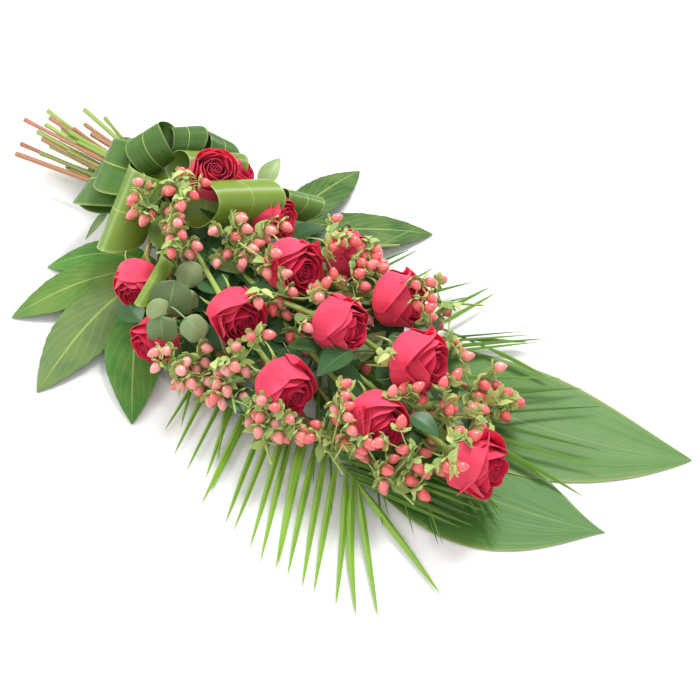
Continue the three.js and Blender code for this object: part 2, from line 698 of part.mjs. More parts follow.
// Rolled aspidistra leaves
// Each leaf rises from the binding, turns over and comes back to it, so that it makes a
// flattened tube. It is placed by its root, the two ends of the line through the middle of
// its turn, and the turn's radius.
const ROLL_STEPS = 9;
const ROLLS = [
  { name: "roll_front", root: [44, -38, 60], ends: [[3, -17, 82], [30, -91, 44]], radius: 14 },
  { name: "roll_right", root: [100, -34, 66], ends: [[92, -36, 102], [131, 12, 94]], radius: 16 },
  { name: "roll_top", root: [40, 6, 62], ends: [[27, 2, 86], [67, 41, 79]], radius: 11 },
  { name: "roll_left", root: [14, -8, 66], ends: [[-42, 4, 80], [-17, -54, 63]], radius: 12 },
  { name: "roll_tip", root: [16, -2, 70], ends: [[-2, 22, 99], [-15, -16, 88]], radius: 10 },
  { name: "roll_back", root: [14, 12, 64], ends: [[-10, 19, 82], [16, 42, 84]], radius: 12 },
  { name: "roll_back_right", root: [37, 29, 57], ends: [[19, 43, 83], [53, 69, 67]], radius: 12 },
  { name: "roll_low", root: [8, -20, 62], ends: [[-48, -8, 66], [-40, -64, 42]], radius: 11 },
  { name: "roll_small", root: [132, 32, 52], ends: [[122, 40, 72], [147, 62, 60]], radius: 8 },
  { name: "roll_bright", root: [127, -113, 63], ends: [[111, -97, 87], [124, -142, 75]], radius: 7 },
];

function rollFrame({ root, ends }) {
  const [near, far] = ends.map((end) => vec(...end));
  const start = vec(...root);
  const wide = far.clone().sub(near);
  const width = wide.length();
  wide.normalize();
  const out = near.clone().lerp(far, 0.5).sub(start);
  const shift = out.dot(wide);
  out.addScaledVector(wide, -shift);
  const reach = out.length();
  out.normalize();
  return { start, wide, width, shift, out, reach, over: out.clone().cross(wide) };
}

// The outline of a roll seen from its end: a drop with its point at the root. Swollen, it
// lies outside the leaf by that much.
function dropPoint(radius, reach, s, swollen) {
  const travel = s * (2 * reach + Math.PI * radius);
  const neck = (part) => mix(1.3, radius, Math.sin((part * Math.PI) / 2)) + swollen;
  if (travel < reach) return [travel, -neck(travel / reach)];
  const back = travel - reach - Math.PI * radius;
  if (back > 0) return [reach - back, neck((reach - back) / reach)];
  const angle = (travel - reach) / radius - Math.PI / 2;
  return [reach + (radius + swollen) * Math.cos(angle), (radius + swollen) * Math.sin(angle)];
}

function rollSurface(spec, grow, swollen) {
  const { start, wide, width, shift, out, reach, over } = rollFrame(spec);
  return (s, t) => {
    const [far, high] = dropPoint(spec.radius, reach, s, swollen);
    const along = far - grow * Math.max(0, 1 - far / reach);
    const taper = 0.35 + 0.65 * Math.sin(Math.PI * mix(0.12, 0.88, s)) ** 0.6;
    const aside = t * ((width / 2) * taper + grow) + (shift * along) / reach;
    const point = start.clone().addScaledVector(out, along).addScaledVector(over, high);
    return point.addScaledVector(wide, aside);
  };
}

function rolledLeaf(spec) {
  const leaf = (grow) => blade(ROLL_STEPS, 1, rollSurface(spec, grow, 0), BLADE + 2 * grow);
  return [{ trim: true, options: [leaf] }];
}

// The space that a roll takes up, filled, so that leaves and berries stay out of it.
function rollLump(spec) {
  const surface = rollSurface(spec, CLEARANCE + 0.2, BLADE / 2 + CLEARANCE + 0.2);
  const corners = ROLL_STEPS + 1;
  const { start, wide, width, shift, out, reach } = rollFrame(spec);
  return shaped(new THREE.CylinderGeometry(1, 1, 1, corners, 1), (p) => {
    if (Math.hypot(p.x, p.z) < 0.5) {
      const middle = start.clone().addScaledVector(out, reach * 0.6).addScaledVector(wide, shift * 0.6);
      return middle.addScaledVector(wide, p.y * width);
    }
    const corner = Math.round(((Math.atan2(p.x, p.z) / (2 * Math.PI) + 1) % 1) * corners) % corners;
    return surface(corner / ROLL_STEPS, 2 * p.y);
  });
}

// The twine binding: three turns laid side by side round the bundle.
function binding(grow) {
  const corners = 9;
  const inside = SLOT_PITCH * SLOT_RINGS + ROSE_STEM + 0.5;
  const inner = inside / Math.cos(Math.PI / corners) - grow;
  const outer = inner + 3.6 + 2 * grow;
  const turn = 4.4;
  const half = 1.5 * turn + grow;
  const outline = [[inner, -half], [outer - 1, -half]];
  for (const middle of [-turn, 0, turn]) {
    outline.push([outer, middle]);
    if (middle < turn) outline.push([outer - 1, middle + turn / 2]);
  }
  outline.push([outer - 1, half], [inner, half], [inner, -half]);
  const profile = outline.map(([radius, along]) => new THREE.Vector2(radius, along));
  return shaped(new THREE.LatheGeometry(profile, corners), (p) => vec(p.y, p.x, p.z + BUNDLE_HEIGHT));
}

const stems = allStems();
giveSlots(stems);
stems.forEach(layStem);
easeApart(stems);
const stemNamed = Object.fromEntries(stems.map((stem) => [stem.name, stem]));

// The pieces, in order: a later piece gives way to an earlier one. The core of a piece is
// never cut. Each of its parts has options, taken in turn until one is free, and a part
// marked trim is cut back to fit if none is.
const pieces = [{ name: "twine_binding", look: "twine", core: binding, parts: [] }];
ROSES.forEach((spec, i) => {
  const place = bloomPlace(stemNamed[`rose_${i + 1}`], i * 2.1);
  pieces.push({
    name: `rose_${i + 1}_bloom`,
    look: "petal",
    core: (grow) => bloom(grow).transform(place),
    lump: () => bloomLump().transform(place),
    parts: [],
  });
});
for (const spec of ROLLS)
  pieces.push({ name: spec.name, look: "aspidistra", lump: () => rollLump(spec), parts: rolledLeaf(spec) });

const stemPiece = (stem, name, look, parts) =>
  pieces.push({ name, look, core: (grow) => stemRod(stem, grow), parts });
ROSES.forEach((spec, i) => {
  const stem = stemNamed[`rose_${i + 1}`];
  stemPiece(stem, `rose_${i + 1}_stem`, "stem", roseGreens(stem, i));
});
SPRAYS.forEach((spec, i) => {
  const stem = stemNamed[`hypericum_${i + 1}`];
  stemPiece(stem, stem.name, "berry", sprayHead(stem, i));
});
const leafPiece = (name, look, make) => stemPiece(stemNamed[name], name, look, make(stemNamed[name]));
leafPiece("eucalyptus", "eucalyptus", eucalyptusTwig);
for (const name of Object.keys(FATSIA)) leafPiece(name, "fatsia", (stem) => fatsiaLeaf(stem, FATSIA[name]));
for (const name of Object.keys(PALMS)) leafPiece(name, "palm", (stem) => palmFrond(stem, PALMS[name]));
for (const name of Object.keys(LONG_LEAVES))
  leafPiece(name, "aspidistra", (stem) => longLeaf(stem, LONG_LEAVES[name]));

// Cuts each piece's parts back from every other core and from the pieces before it.
function fitTogether() {
  const boxesMeet = (a, b) => {
    const [p, q] = [a.boundingBox(), b.boundingBox()];
    return [0, 1, 2].every((i) => p.min[i] <= q.max[i] && q.min[i] <= p.max[i]);
  };
  for (const piece of pieces) {
    piece.keepOut = [];
    if (piece.lump) piece.keepOut.push(piece.lump());
    else if (piece.core) piece.keepOut.push(piece.core(CLEARANCE));
  }
  pieces.forEach((piece, i) => {
    const others = pieces.filter((other, k) => other !== piece && (other.core || k < i));
    const obstacles = others.flatMap((other) => other.keepOut);
    const meeting = (made) => obstacles.filter((tool) => boxesMeet(made, tool));
    const free = (made) => meeting(made).every((tool) => made.intersect(tool).isEmpty());
    const kept = piece.core ? [piece.core(0)] : [];
    for (const { options, trim } of piece.parts) {
      const chosen = options.find((make) => free(make(0))) ?? (trim ? options[0] : null);
      if (!chosen) continue;
      kept.push(meeting(chosen(0)).reduce((made, tool) => made.subtract(tool), chosen(0)));
      piece.keepOut.push(chosen(CLEARANCE));
    }
    const bodies = joined(kept).decompose().sort((a, b) => b.volume() - a.volume());
    piece.solid = bodies[0].simplify(0.05);
  });
}
fitTogether();

function meshOf(piece) {
  const { vertProperties, triVerts, numProp } = piece.solid.getMesh();
  const count = vertProperties.length / numProp;
  const positions = new Float32Array(count * 3);
  for (let i = 0; i < count; i++)
    positions.set(vertProperties.subarray(i * numProp, i * numProp + 3), i * 3);
  const geometry = new THREE.BufferGeometry();
  geometry.setAttribute("position", new THREE.BufferAttribute(positions, 3));
  geometry.setIndex(new THREE.BufferAttribute(triVerts, 1));
  geometry.computeVertexNormals();
  const [color, roughness] = COLOURS[piece.look];
  const mesh = new THREE.Mesh(geometry, new THREE.MeshStandardMaterial({ color, roughness, metalness: 0 }));
  mesh.name = piece.name;
  return mesh;
}

const sheaf = new THREE.Group();
for (const piece of pieces) sheaf.add(meshOf(piece));

// The sheaf's own frame: the origin under the middle of its box, on the table.
const box = new THREE.Box3().setFromObject(sheaf);
const middle = box.getCenter(vec(0, 0, 0));
sheaf.position.set(-middle.x, -middle.y, -box.min.z);

export default sheaf;
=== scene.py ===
"""A tied funeral sheaf of red roses and coral hypericum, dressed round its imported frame.

The sheaf lies on its large leaves. Its layout is drawn in millimetres, with +X along the
sheaf from the cut stems to the leaf tips and the origin on the table under the twine.
"""
import math

import bpy
import numpy as np
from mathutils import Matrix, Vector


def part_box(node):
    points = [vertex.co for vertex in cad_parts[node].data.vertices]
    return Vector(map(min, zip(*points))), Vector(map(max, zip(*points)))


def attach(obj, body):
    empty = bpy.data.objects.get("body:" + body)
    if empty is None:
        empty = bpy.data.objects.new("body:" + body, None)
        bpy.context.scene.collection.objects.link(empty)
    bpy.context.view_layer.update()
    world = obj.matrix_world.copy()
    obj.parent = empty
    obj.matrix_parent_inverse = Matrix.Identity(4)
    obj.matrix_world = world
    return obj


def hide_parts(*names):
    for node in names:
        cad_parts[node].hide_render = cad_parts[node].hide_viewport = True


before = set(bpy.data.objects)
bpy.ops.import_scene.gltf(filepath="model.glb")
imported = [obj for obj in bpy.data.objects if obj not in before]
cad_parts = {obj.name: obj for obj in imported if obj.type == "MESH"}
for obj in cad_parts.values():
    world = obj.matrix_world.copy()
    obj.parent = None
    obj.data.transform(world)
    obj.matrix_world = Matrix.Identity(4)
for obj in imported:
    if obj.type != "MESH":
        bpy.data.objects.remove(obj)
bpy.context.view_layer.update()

bl_info = {
    "name": "Funeral Sheaf",
    "version": (1, 0, 0),
    "blender": (4, 5, 0),
    "location": "3D View > Sidebar > Sheaf",
    "description": "Roses, hypericum and foliage of a tied flower sheaf",
    "category": "Object",
}

# Where each rose stands: its middle, its heading in plan from +X and its pitch.
ROSES = [
    (80, -4, 104, -15, 58), (71, 35, 74, 38, 30), (143, 7, 81, 12, 14), (88, -114, 54, -62, -8),
    (142, -148, 44, -86, -2), (201, -105, 80, -19, 6), (207, -38, 92, -6, 12),
    (224, 16, 76, 24, 18), (281, -61, 86, 4, 10), (279, -129, 66, -18, 0), (293, 4, 74, 16, 12),
    (354, -48, 80, 16, 12), (360, -109, 64, -14, 6), (446, -86, 54, 4, 4),
]
# How large each bloom is beside the size set for a bloom.
BLOOM_SCALES = [
    0.86, 0.62, 0.78, 0.82, 0.76, 0.87, 0.93, 0.85, 0.92, 0.9, 0.95, 0.98, 0.92, 0.95,
]
# How red each rose stem is, from 0 to 1.
ROSE_REDNESS = [0.1, 1.0, 0.4, 0.9, 1.0, 0.5, 0.1, 0.2, 0.3, 0.4, 0.0, 0.1, 0.2, 0.3]
# Where each hypericum head forks, and the way it points.
SPRAYS = [
    (46, -52, 76, -75, 40), (92, -66, 78, -40, 30), (140, -42, 66, -30, 62),
    (208, 50, 52, 28, 14), (246, -22, 52, 0, 80), (176, -148, 36, -52, 4),
    (224, -142, 42, -38, 6), (276, -158, 32, -36, 4), (326, -136, 34, -26, 6),
    (384, -128, 30, -14, 4), (394, -72, 38, 80, 50), (388, -16, 42, 14, 10),
    (304, 50, 42, 24, 10),
]
# The middle of every berry in view, head by head.
BERRIES = [
    [
        (43, -62, 113), (44, -53, 105), (46, -73, 102), (46, -75, 86), (59, -74, 84),
        (58, -64, 83), (63, -26, 112), (66, -45, 104), (70, -52, 86),
    ],
    [
        (104, -51, 124), (101, -64, 119), (101, -68, 109), (107, -76, 110), (97, -76, 96),
        (111, -76, 98), (104, -85, 94), (124, -72, 90), (120, -78, 82), (120, -99, 98),
        (115, -70, 77), (101, -33, 125), (87, -44, 123),
    ],
    [
        (131, -58, 102), (145, -35, 109), (148, -46, 97), (153, -37, 103), (169, -24, 101),
        (174, -9, 98), (163, -25, 89), (166, -36, 93), (167, -45, 93), (161, -51, 85),
        (146, -57, 82), (142, -67, 76), (166, -58, 84), (203, -54, 116), (202, -65, 100),
    ],
    [
        (219, 6, 103), (186, 46, 77), (244, 10, 102), (251, 8, 96), (254, 20, 97), (261, 13, 99),
        (255, -1, 98), (254, 6, 86), (264, 3, 99), (259, 22, 83), (265, 15, 86), (241, 6, 110),
        (229, 13, 104), (232, 4, 104),
    ],
    [
        (221, -60, 108), (229, -62, 92), (215, -74, 70), (213, -63, 69), (222, -64, 61),
        (229, -53, 62), (267, -86, 92), (236, -76, 52), (241, -67, 47), (237, -76, 42),
        (249, -71, 40), (243, -49, 97), (243, -35, 92), (241, -23, 93), (259, -62, 105),
        (226, -3, 101), (299, -48, 33), (259, -9, 94), (245, -16, 80), (267, -11, 85),
        (222, -98, 102),
    ],
    [
        (163, -169, 58), (169, -161, 58), (169, -175, 48), (192, -134, 55), (196, -141, 45),
        (193, -150, 41), (187, -158, 42), (190, -157, 55), (193, -167, 55), (194, -170, 38),
        (201, -164, 42), (204, -159, 31), (210, -152, 40),
    ],
    [
        (244, -110, 88), (234, -122, 88), (230, -150, 68), (223, -152, 60), (236, -145, 72),
        (226, -131, 78), (239, -135, 58), (227, -159, 54), (232, -168, 48), (236, -156, 51),
        (236, -162, 40), (247, -147, 42), (261, -157, 30),
    ],
    [
        (280, -163, 54), (286, -172, 49), (292, -157, 50), (305, -153, 63), (310, -145, 47),
        (301, -164, 47), (301, -155, 37), (316, -152, 48), (278, -158, 71), (292, -158, 73),
    ],
    [
        (325, -152, 53), (319, -138, 54), (321, -139, 45), (328, -124, 66), (331, -125, 57),
        (332, -114, 78), (344, -124, 83), (350, -132, 80), (357, -136, 73), (341, -132, 47),
        (351, -137, 51), (327, -107, 84), (368, -137, 58), (362, -127, 35),
    ],
    [
        (388, -120, 47), (396, -120, 65), (388, -130, 43), (405, -101, 49), (410, -125, 41),
        (410, -117, 51), (393, -135, 49), (396, -143, 39), (424, -126, 34), (414, -112, 40),
        (438, -115, 70), (428, -110, 54), (375, -136, 70), (382, -134, 75), (388, -112, 86),
    ],
    [
        (363, -92, 88), (362, -76, 76), (373, -71, 82), (375, -76, 49), (375, -68, 64),
        (384, -67, 51), (391, -59, 63), (396, -79, 41), (395, -79, 30), (391, -43, 86),
        (393, -48, 62), (388, -54, 55), (410, -45, 59), (423, -48, 49), (424, -82, 74),
        (440, -83, 82), (452, -115, 83), (388, -57, 86), (400, -63, 66), (335, -68, 91),
    ],
    [
        (378, -9, 71), (402, 4, 63), (406, -3, 49), (400, -13, 53), (418, -5, 51),
        (410, -11, 46), (400, -21, 46), (427, 0, 41), (410, -27, 42), (425, -15, 34),
    ],
    [
        (310, 5, 101), (314, 20, 96), (298, 61, 58), (325, 8, 92), (330, 0, 91), (315, 47, 38),
        (329, 5, 74), (313, 38, 29), (320, -6, 91), (333, 35, 22), (346, 28, 23),
    ],
]
# How pale the berries of each head are, from 0 to 1.
PALENESS = [0.3, 0.3, 0.5, 0.2, 0.3, 0.9, 0.7, 0.55, 0.3, 0.1, 0.0, 0.0, 0.1]
# How red each hypericum stem is, from 0 to 1.
REDNESS = [1.0, 0.3, 0.95, 0.8, 0.2, 0.1, 0.5, 0.4, 1.0, 0.3, 0.2, 0.9, 0.1]
# Leaves that fill the gaps between the blooms: root, tip, width and how pale each is.
GAP_LEAVES = [
    (297, -59, 46, 294, -18, 56, 30, 1.0), (285, -50, 48, 268, -87, 44, 28, 0.1),
    (306, -10, 42, 273, -6, 48, 26, 0.2), (262, 41, 45, 231, 25, 55, 24, 0.2),
    (221, -103, 50, 222, -130, 48, 22, 0.2), (135, -76, 58, 104, -71, 62, 22, 0.7),
    (134, -63, 70, 162, -51, 66, 16, 0.9), (115, -138, 40, 67, -122, 34, 26, 0.4),
    (217, -40, 58, 186, -56, 60, 26, 0.1), (378, -95, 40, 346, -81, 44, 26, 0.1),
    (418, -57, 36, 379, -47, 44, 28, 0.1), (384, -33, 40, 352, -27, 48, 24, 0.1),
    (262, -157, 40, 222, -144, 44, 24, 0.1), (238, -25, 60, 227, -53, 52, 24, 0.3),
    (266, 11, 50, 244, -2, 56, 22, 0.3), (324, 24, 40, 295, 11, 46, 26, 0.2),
    (311, -123, 40, 324, -97, 46, 22, 0.5), (139, -48, 62, 182, -53, 58, 22, 0.3),
    (299, -36, 46, 288, -63, 46, 26, 0.2), (222, -87, 48, 229, -55, 50, 24, 0.1),
    (75, -75, 58, 43, -39, 62, 20, 0.8), (80, 56, 50, 76, 92, 62, 18, 0.95),
    (279, -2, 44, 248, -1, 48, 26, 0.2), (337, -55, 42, 310, -45, 46, 24, 0.2),
    (249, -91, 44, 221, -88, 50, 26, 0.1), (265, 20, 50, 237, 21, 54, 22, 0.2),
    (258, -102, 78, 281, -92, 80, 24, 0.1), (304, -73, 80, 296, -110, 76, 28, 0.05),
    (382, -93, 72, 411, -90, 68, 20, 0.1), (235, 10, 50, 210, 20, 56, 20, 0.1),
    (-26, -44, 30, -31, -76, 8, 7, 0.97), (2, 8, 52, -26, 28, 44, 20, 0.1),
]
# Where the cut ends of the stems in view lie.
CUT_ENDS = {
    "hypericum_1": (-168, -21, 51), "hypericum_9": (-164, -34, 30), "rose_5": (-158, -46, 28),
    "rose_6": (-147, -12, 50), "rose_13": (-172, 12, 40), "hypericum_3": (-156, 1, 46),
    "rose_4": (-143, -22, 40), "hypericum_6": (-138, -31, 30), "rose_7": (-117, -8, 54),
    "hypericum_12": (-127, 6, 44), "hypericum_4": (-128, 24, 36), "rose_8": (-151, 42, 34),
    "hypericum_13": (-131, 51, 28), "rose_3": (-138, 1, 40), "rose_11": (-130, 2, 36),
    "hypericum_5": (-151, 10, 30), "rose_10": (-153, -19, 42), "rose_2": (-111, 15, 40),
    "rose_1": (-102, -10, 50), "rose_9": (-137, -5, 34), "rose_14": (-143, -14, 26),
    "rose_12": (-120, 11, 28),
}
# Where each large leaf starts, on a stem of its own.
LEAF_STARTS = {
    "fatsia_near": (60, -64, 19), "fatsia_far": (111, 38, 20), "palm_near": (140, -72, 12),
    "palm_middle": (230, -40, 13), "palm_far": (172, 28, 13), "aspidistra_long": (250, -6, 6),
    "aspidistra_short": (250, -76, 6), "eucalyptus": (124, -80, 52),
}
# Each fatsia leaf: how wide its lobes may be beside their length, how far their middles lie
# aside, and each lobe's heading, length and tone.
FATSIA = {
    "fatsia_near": (0.5, -9.3, [
        (210, 112, 0.36), (241, 143, 0.6), (275, 172, 0.9), (306, 179, 0.17), (333, 177, 0.2),
        (357, 96, 0.2),
    ]),
    "fatsia_far": (0.31, -2, [
        (156, 74, 0.0), (126, 80, 0.0), (93, 142, 0.0), (46, 157, 0.0), (16, 108, 0.0),
    ]),
}
# Each frond's heading, its rib's length and its rib's height at the tip; then its leaflets:
# their place on the rib from 0 to 1, the tip, and the width.
PALMS = {
    "palm_near": (-16, 234, 9, [
        (0.02, 203, -183, 3, 6), (0.06, 194, -194, 2, 7), (0.13, 219, -208, 2, 7),
        (0.18, 253, -190, 4, 6), (0.23, 240, -214, 3, 6), (0.25, 258, -210, 2, 8),
        (0.35, 274, -232, 2, 9), (0.37, 271, -217, 3, 7), (0.45, 303, -234, 2, 8),
        (0.49, 313, -235, 2, 7), (0.54, 335, -239, 2, 8), (0.58, 351, -244, 2, 8),
        (0.64, 365, -241, 2, 9), (0.67, 364, -236, 4, 7), (0.73, 376, -239, 2, 8),
        (0.79, 393, -241, 2, 8), (0.86, 403, -238, 2, 8), (0.92, 424, -236, 2, 8),
        (0.96, 442, -233, 2, 9), (0.99, 456, -223, 2, 8), (0.99, 481, -175, 2, 9),
        (0.30, 250, -30, 8, 6), (0.5, 300, -40, 8, 6), (0.60, 412, -87, 9, 7),
        (0.66, 428, -87, 9, 7), (0.72, 462, -71, 9, 7), (0.76, 445, -89, 9, 7),
        (0.80, 466, -80, 9, 8), (0.84, 466, -90, 9, 7), (0.88, 467, -99, 9, 8),
        (0.91, 442, -112, 9, 7), (0.94, 464, -108, 8, 8), (0.97, 456, -116, 8, 8),
    ]),
    "palm_middle": (2, 190, 12, [
        (0.02, 309, -176, 8, 4), (0.06, 336, -162, 9, 4), (0.10, 367, -174, 6, 4),
        (0.16, 367, -142, 9, 5), (0.22, 407, -148, 8, 5), (0.28, 408, -158, 7, 4),
        (0.33, 432, -147, 7, 4), (0.40, 455, -139, 8, 6), (0.45, 453, -142, 7, 5),
        (0.50, 466, -81, 9, 5), (0.55, 474, -83, 8, 6), (0.60, 477, -101, 8, 6),
        (0.66, 488, -111, 7, 6), (0.72, 480, -90, 8, 5), (0.04, 367, 93, 12, 5),
        (0.10, 375, 94, 12, 6), (0.18, 389, 101, 11, 8), (0.26, 384, 92, 10, 6),
        (0.35, 428, 72, 10, 6), (0.45, 447, 73, 9, 5), (0.60, 441, 67, 10, 5),
        (0.68, 497, 24, 9, 7), (0.76, 470, 65, 9, 5), (0.85, 508, 10, 9, 6),
        (0.92, 514, -25, 7, 7), (0.97, 480, -30, 7, 6),
    ]),
    "palm_far": (9, 190, 11, [
        (0.05, 210, 139, 16, 4), (0.15, 222, 109, 14, 5), (0.22, 229, 115, 14, 5),
        (0.35, 254, 107, 12, 5), (0.45, 293, 117, 10, 6), (0.55, 301, 98, 10, 5),
        (0.62, 309, 122, 10, 7), (0.70, 318, 119, 10, 6), (0.86, 376, 88, 8, 7),
        (0.4, 300, -20, 9, 6), (0.6, 345, -5, 9, 6), (0.97, 416, 64, 8, 7),
    ]),
}
# Each flat leaf's length and width, its heading at its root and its tip, how near its root it
# is widest and how slim it narrows, both as exponents, and its tone.
LONG_LEAVES = {
    "aspidistra_long": (325, 122, -3, 31, 1.02, 0.8, 1.0),
    "aspidistra_short": (304, 109, -12, 26, 1.5, 1.05, 0.15),
}
# The eucalyptus leaves: the middle of each and how wide it is.
EUCALYPTUS = [
    (143, -126, 77, 36), (155, -150, 66, 26), (124, -84, 64, 24), (172, -128, 62, 24),
    (136, -104, 52, 24), (148, -146, 84, 20),
]
EUCALYPTUS_WAY = (-70, 22)  # the twig's heading and pitch
# Each rolled leaf's root, the two ends of the line through its turn, the turn's radius, how
# light its green is, from 0 to 1, and how far its turn leans to show the inside.
ROLLS = {
    "roll_front": ((44, -38, 60), (3, -17, 82), (30, -91, 44), 14, 0.9, 0.75),
    "roll_right": ((100, -34, 66), (92, -36, 102), (131, 12, 94), 16, 1.0, 0.75),
    "roll_top": ((40, 6, 62), (27, 2, 86), (67, 41, 79), 11, 0.8, 0.75),
    "roll_left": ((14, -8, 66), (-42, 4, 80), (-17, -54, 63), 12, 0.15, 0.75),
    "roll_tip": ((16, -2, 70), (-2, 22, 99), (-15, -16, 88), 10, 0.1, 0.75),
    "roll_back": ((14, 12, 64), (-10, 19, 82), (16, 42, 84), 12, 0.05, 0.75),
    "roll_back_right": ((33, 26, 57), (16, 40, 84), (40, 56, 68), 12, 0.0, 0.75),
    "roll_low": ((10, -20, 62), (-40, -8, 66), (-33, -70, 41), 12, 0.2, 0.25),
    "roll_small": ((132, 32, 52), (122, 40, 72), (147, 62, 60), 8, 0.5, 0.75),
    "roll_bright": ((122, -113, 70), (108, -94, 84), (125, -147, 75), 4, 1.0, 0.75),
}
EYE = np.array([868.33, -748.33, 1023.90])  # the camera
AIM = np.array([254.6, -16.9, 0.0])  # the point on the table that it looks at
LENS, SENSOR = 79.2, 36  # its focal length and the width of its sensor
TIE_HEIGHT = 32.0  # middle of the binding above the table
BLOOM_BACK = 28.0  # a rose's stem ends this far behind the middle of its bloom
HIP = 6.0  # a bloom's foot lies this far beyond the end of its stem
BERRY_BALL = 4.9  # radius of the space that a berry takes
HIDDEN_BERRIES = 12  # at most this many more in a head, where other pieces shelter them
BERRY_TRIES = 400  # how many places are tried for them
STEM_LEAVES = 9  # at most this many leaves on a rose stem
LEAF_TRIES = 260  # how many places are tried for them
BARE_STEM = 115  # rose stems bear no leaves before this place, under the rolled leaves
LEAF_FOLD = 0.2  # how steeply a small leaf's halves rise from its midrib
# Sheltered berries and small hypericum leaves stay on the near side of these lines, because
# the photo shows large leaves alone beyond them.
BERRY_EDGE, LEAF_EDGE = 40, 50
PATCH_SCALE = 45.0  # mottling in patches about 22 mm across
GRAIN_SCALE = 420.0  # grain of about 2.4 mm, because real skin cells are too fine to show

MM = 0.001
UP = np.array([0.0, 0.0, 1.0])
tie_low, tie_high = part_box("twine_binding")
OFFSET = np.array([(tie_low.x + tie_high.x) / 2, (tie_low.y + tie_high.y) / 2, 0.0]) / MM


def linear(code):
    """An sRGB hex colour as linear red, green and blue."""
    parts = [int(code[i : i + 2], 16) / 255 for i in (1, 3, 5)]
    return tuple(c / 12.92 if c <= 0.04045 else ((c + 0.055) / 1.055) ** 2.4 for c in parts)


def length_of(name, value, description):
    """A length that a user can change, given in millimetres."""
    return bpy.props.FloatProperty(
        name=name, default=value * MM, min=0.0001, unit="LENGTH", description=description
    )


def colour_of(name, code, description):
    """A colour that a user can change, given in hex."""
    return bpy.props.FloatVectorProperty(
        name=name, default=linear(code), size=3, min=0, max=1, subtype="COLOR",
        description=description,
    )


class SheafSizes(bpy.types.PropertyGroup):
    """The sizes of the flowers, leaves and stems"""

    bloom_radius: length_of("Bloom radius", 25.5, "Radius of a rose at its widest petals")
    bloom_height: length_of("Bloom height", 42, "Height of a rose above its hip")
    petal: length_of("Petal", 0.5, "Thickness of a petal")
    leaf: length_of("Leaf", 0.6, "Thickness of a leaf blade")
    berry_length: length_of("Berry length", 12.5, "Length of a hypericum berry")
    berry_width: length_of("Berry width", 9.6, "Width of a hypericum berry")
    rose_stem: length_of("Rose stem", 2.5, "Radius of a rose stem")
    spray_stem: length_of("Spray stem", 2.0, "Radius of a hypericum stem")
    leaf_stem: length_of("Leaf stem", 2.1, "Radius of a leaf's stalk")


class SheafColours(bpy.types.PropertyGroup):
    """The main colours of the flowers, leaves and stems"""

    petal: colour_of("Petal", "#F04C6A", "Outside of the outer petals")
    heart: colour_of("Heart", "#B40638", "Inside of the bloom")
    berry: colour_of("Berry", "#F35C60", "Hypericum berries")
    berry_pale: colour_of("Pale berry", "#FFB2A8", "The paler berries")
    sprig: colour_of("Sprig", "#A9BF6E", "Hypericum stalks and calyces")
    rose_leaf: colour_of("Rose leaf", "#48733D", "Leaves between the roses")
    stem: colour_of("Stem", "#86A545", "Green stems")
    fatsia: colour_of("Fatsia", "#587E32", "Fatsia leaves")
    palm: colour_of("Palm", "#70A32C", "Palm leaflets")
    aspidistra: colour_of("Aspidistra", "#527C35", "Flat aspidistra leaves")
    roll_dark: colour_of("Dark roll", "#33591F", "Rolled leaves at the back")
    roll_light: colour_of("Light roll", "#77912E", "Rolled leaves in front")
    eucalyptus: colour_of("Eucalyptus", "#7A9161", "Eucalyptus leaves")
    twine: colour_of("Twine", "#B59A68", "Twine binding")
    floor: colour_of("Floor", "#F6F6F6", "Floor under the sheaf")


# Directions and points, in the layout's millimetres


def unit(vector):
    return vector / (np.linalg.norm(vector) or 1.0)


def direction(heading, pitch):
    """The way a heading in plan and a pitch point, both in degrees."""
    flat, turn = math.cos(math.radians(pitch)), math.radians(heading)
    return np.array([flat * math.cos(turn), flat * math.sin(turn), math.sin(math.radians(pitch))])


def around(axis, angle):
    """A direction square to an axis, at an angle round it."""
    first = np.array([1.0, 0, 0]) if abs(axis[2]) > 0.95 else UP
    across = unit(np.cross(first, axis))
    return across * math.cos(angle) + unit(np.cross(axis, across)) * math.sin(angle)


def mixed(a, b, share):
    return a + (b - a) * share


def curve_through(points, steps):
    """A smooth line through some points, with this many steps in each stretch."""
    points = np.asarray(points, float)
    ends = np.vstack([2 * points[0] - points[1], points, 2 * points[-1] - points[-2]])
    made = []
    for k in range(len(points) - 1):
        a, b, c, d = ends[k : k + 4]
        square, cube = 2 * a - 5 * b + 4 * c - d, 3 * b - a - 3 * c + d
        for t in np.arange(steps) / steps:
            made.append(0.5 * (2 * b + (c - a) * t + square * t**2 + cube * t**3))
    return np.array([*made, points[-1]])


# Forms: each is modelled on a flat grid, and a piece is gathered from many of them

GRIDS = {}


class Form:
    """Points, faces, each point's place in a pattern (across and along) and its tone."""

    def __init__(self, points, faces, places, tone):
        self.points, self.faces, self.places = np.asarray(points, float), faces, places
        self.tone = np.broadcast_to(np.asarray(tone, float), (len(self.points),))

    def placed(self, origin, axis, turn, scale, tone=None):
        """A copy with its upright axis laid along another, and its origin moved."""
        across = around(axis, turn)
        basis = np.array([across, np.cross(axis, across), axis]) * scale
        tone = self.tone if tone is None else tone
        return Form(self.points @ basis + origin, self.faces, self.places, tone)


def flat_grid(columns, rows):
    """A flat unit sheet: its points' place along it, 0 to 1, and across it, -1 to 1."""
    if (columns, rows) not in GRIDS:
        bpy.ops.mesh.primitive_grid_add(x_subdivisions=rows, y_subdivisions=columns, size=2)
        sheet = bpy.context.object
        points = np.array([v.co[:2] for v in sheet.data.vertices])
        faces = np.array([tuple(p.vertices) for p in sheet.data.polygons])
        GRIDS[columns, rows] = ((points[:, 0] + 1) / 2, points[:, 1], faces)
        bpy.data.meshes.remove(sheet.data)
    return GRIDS[columns, rows]


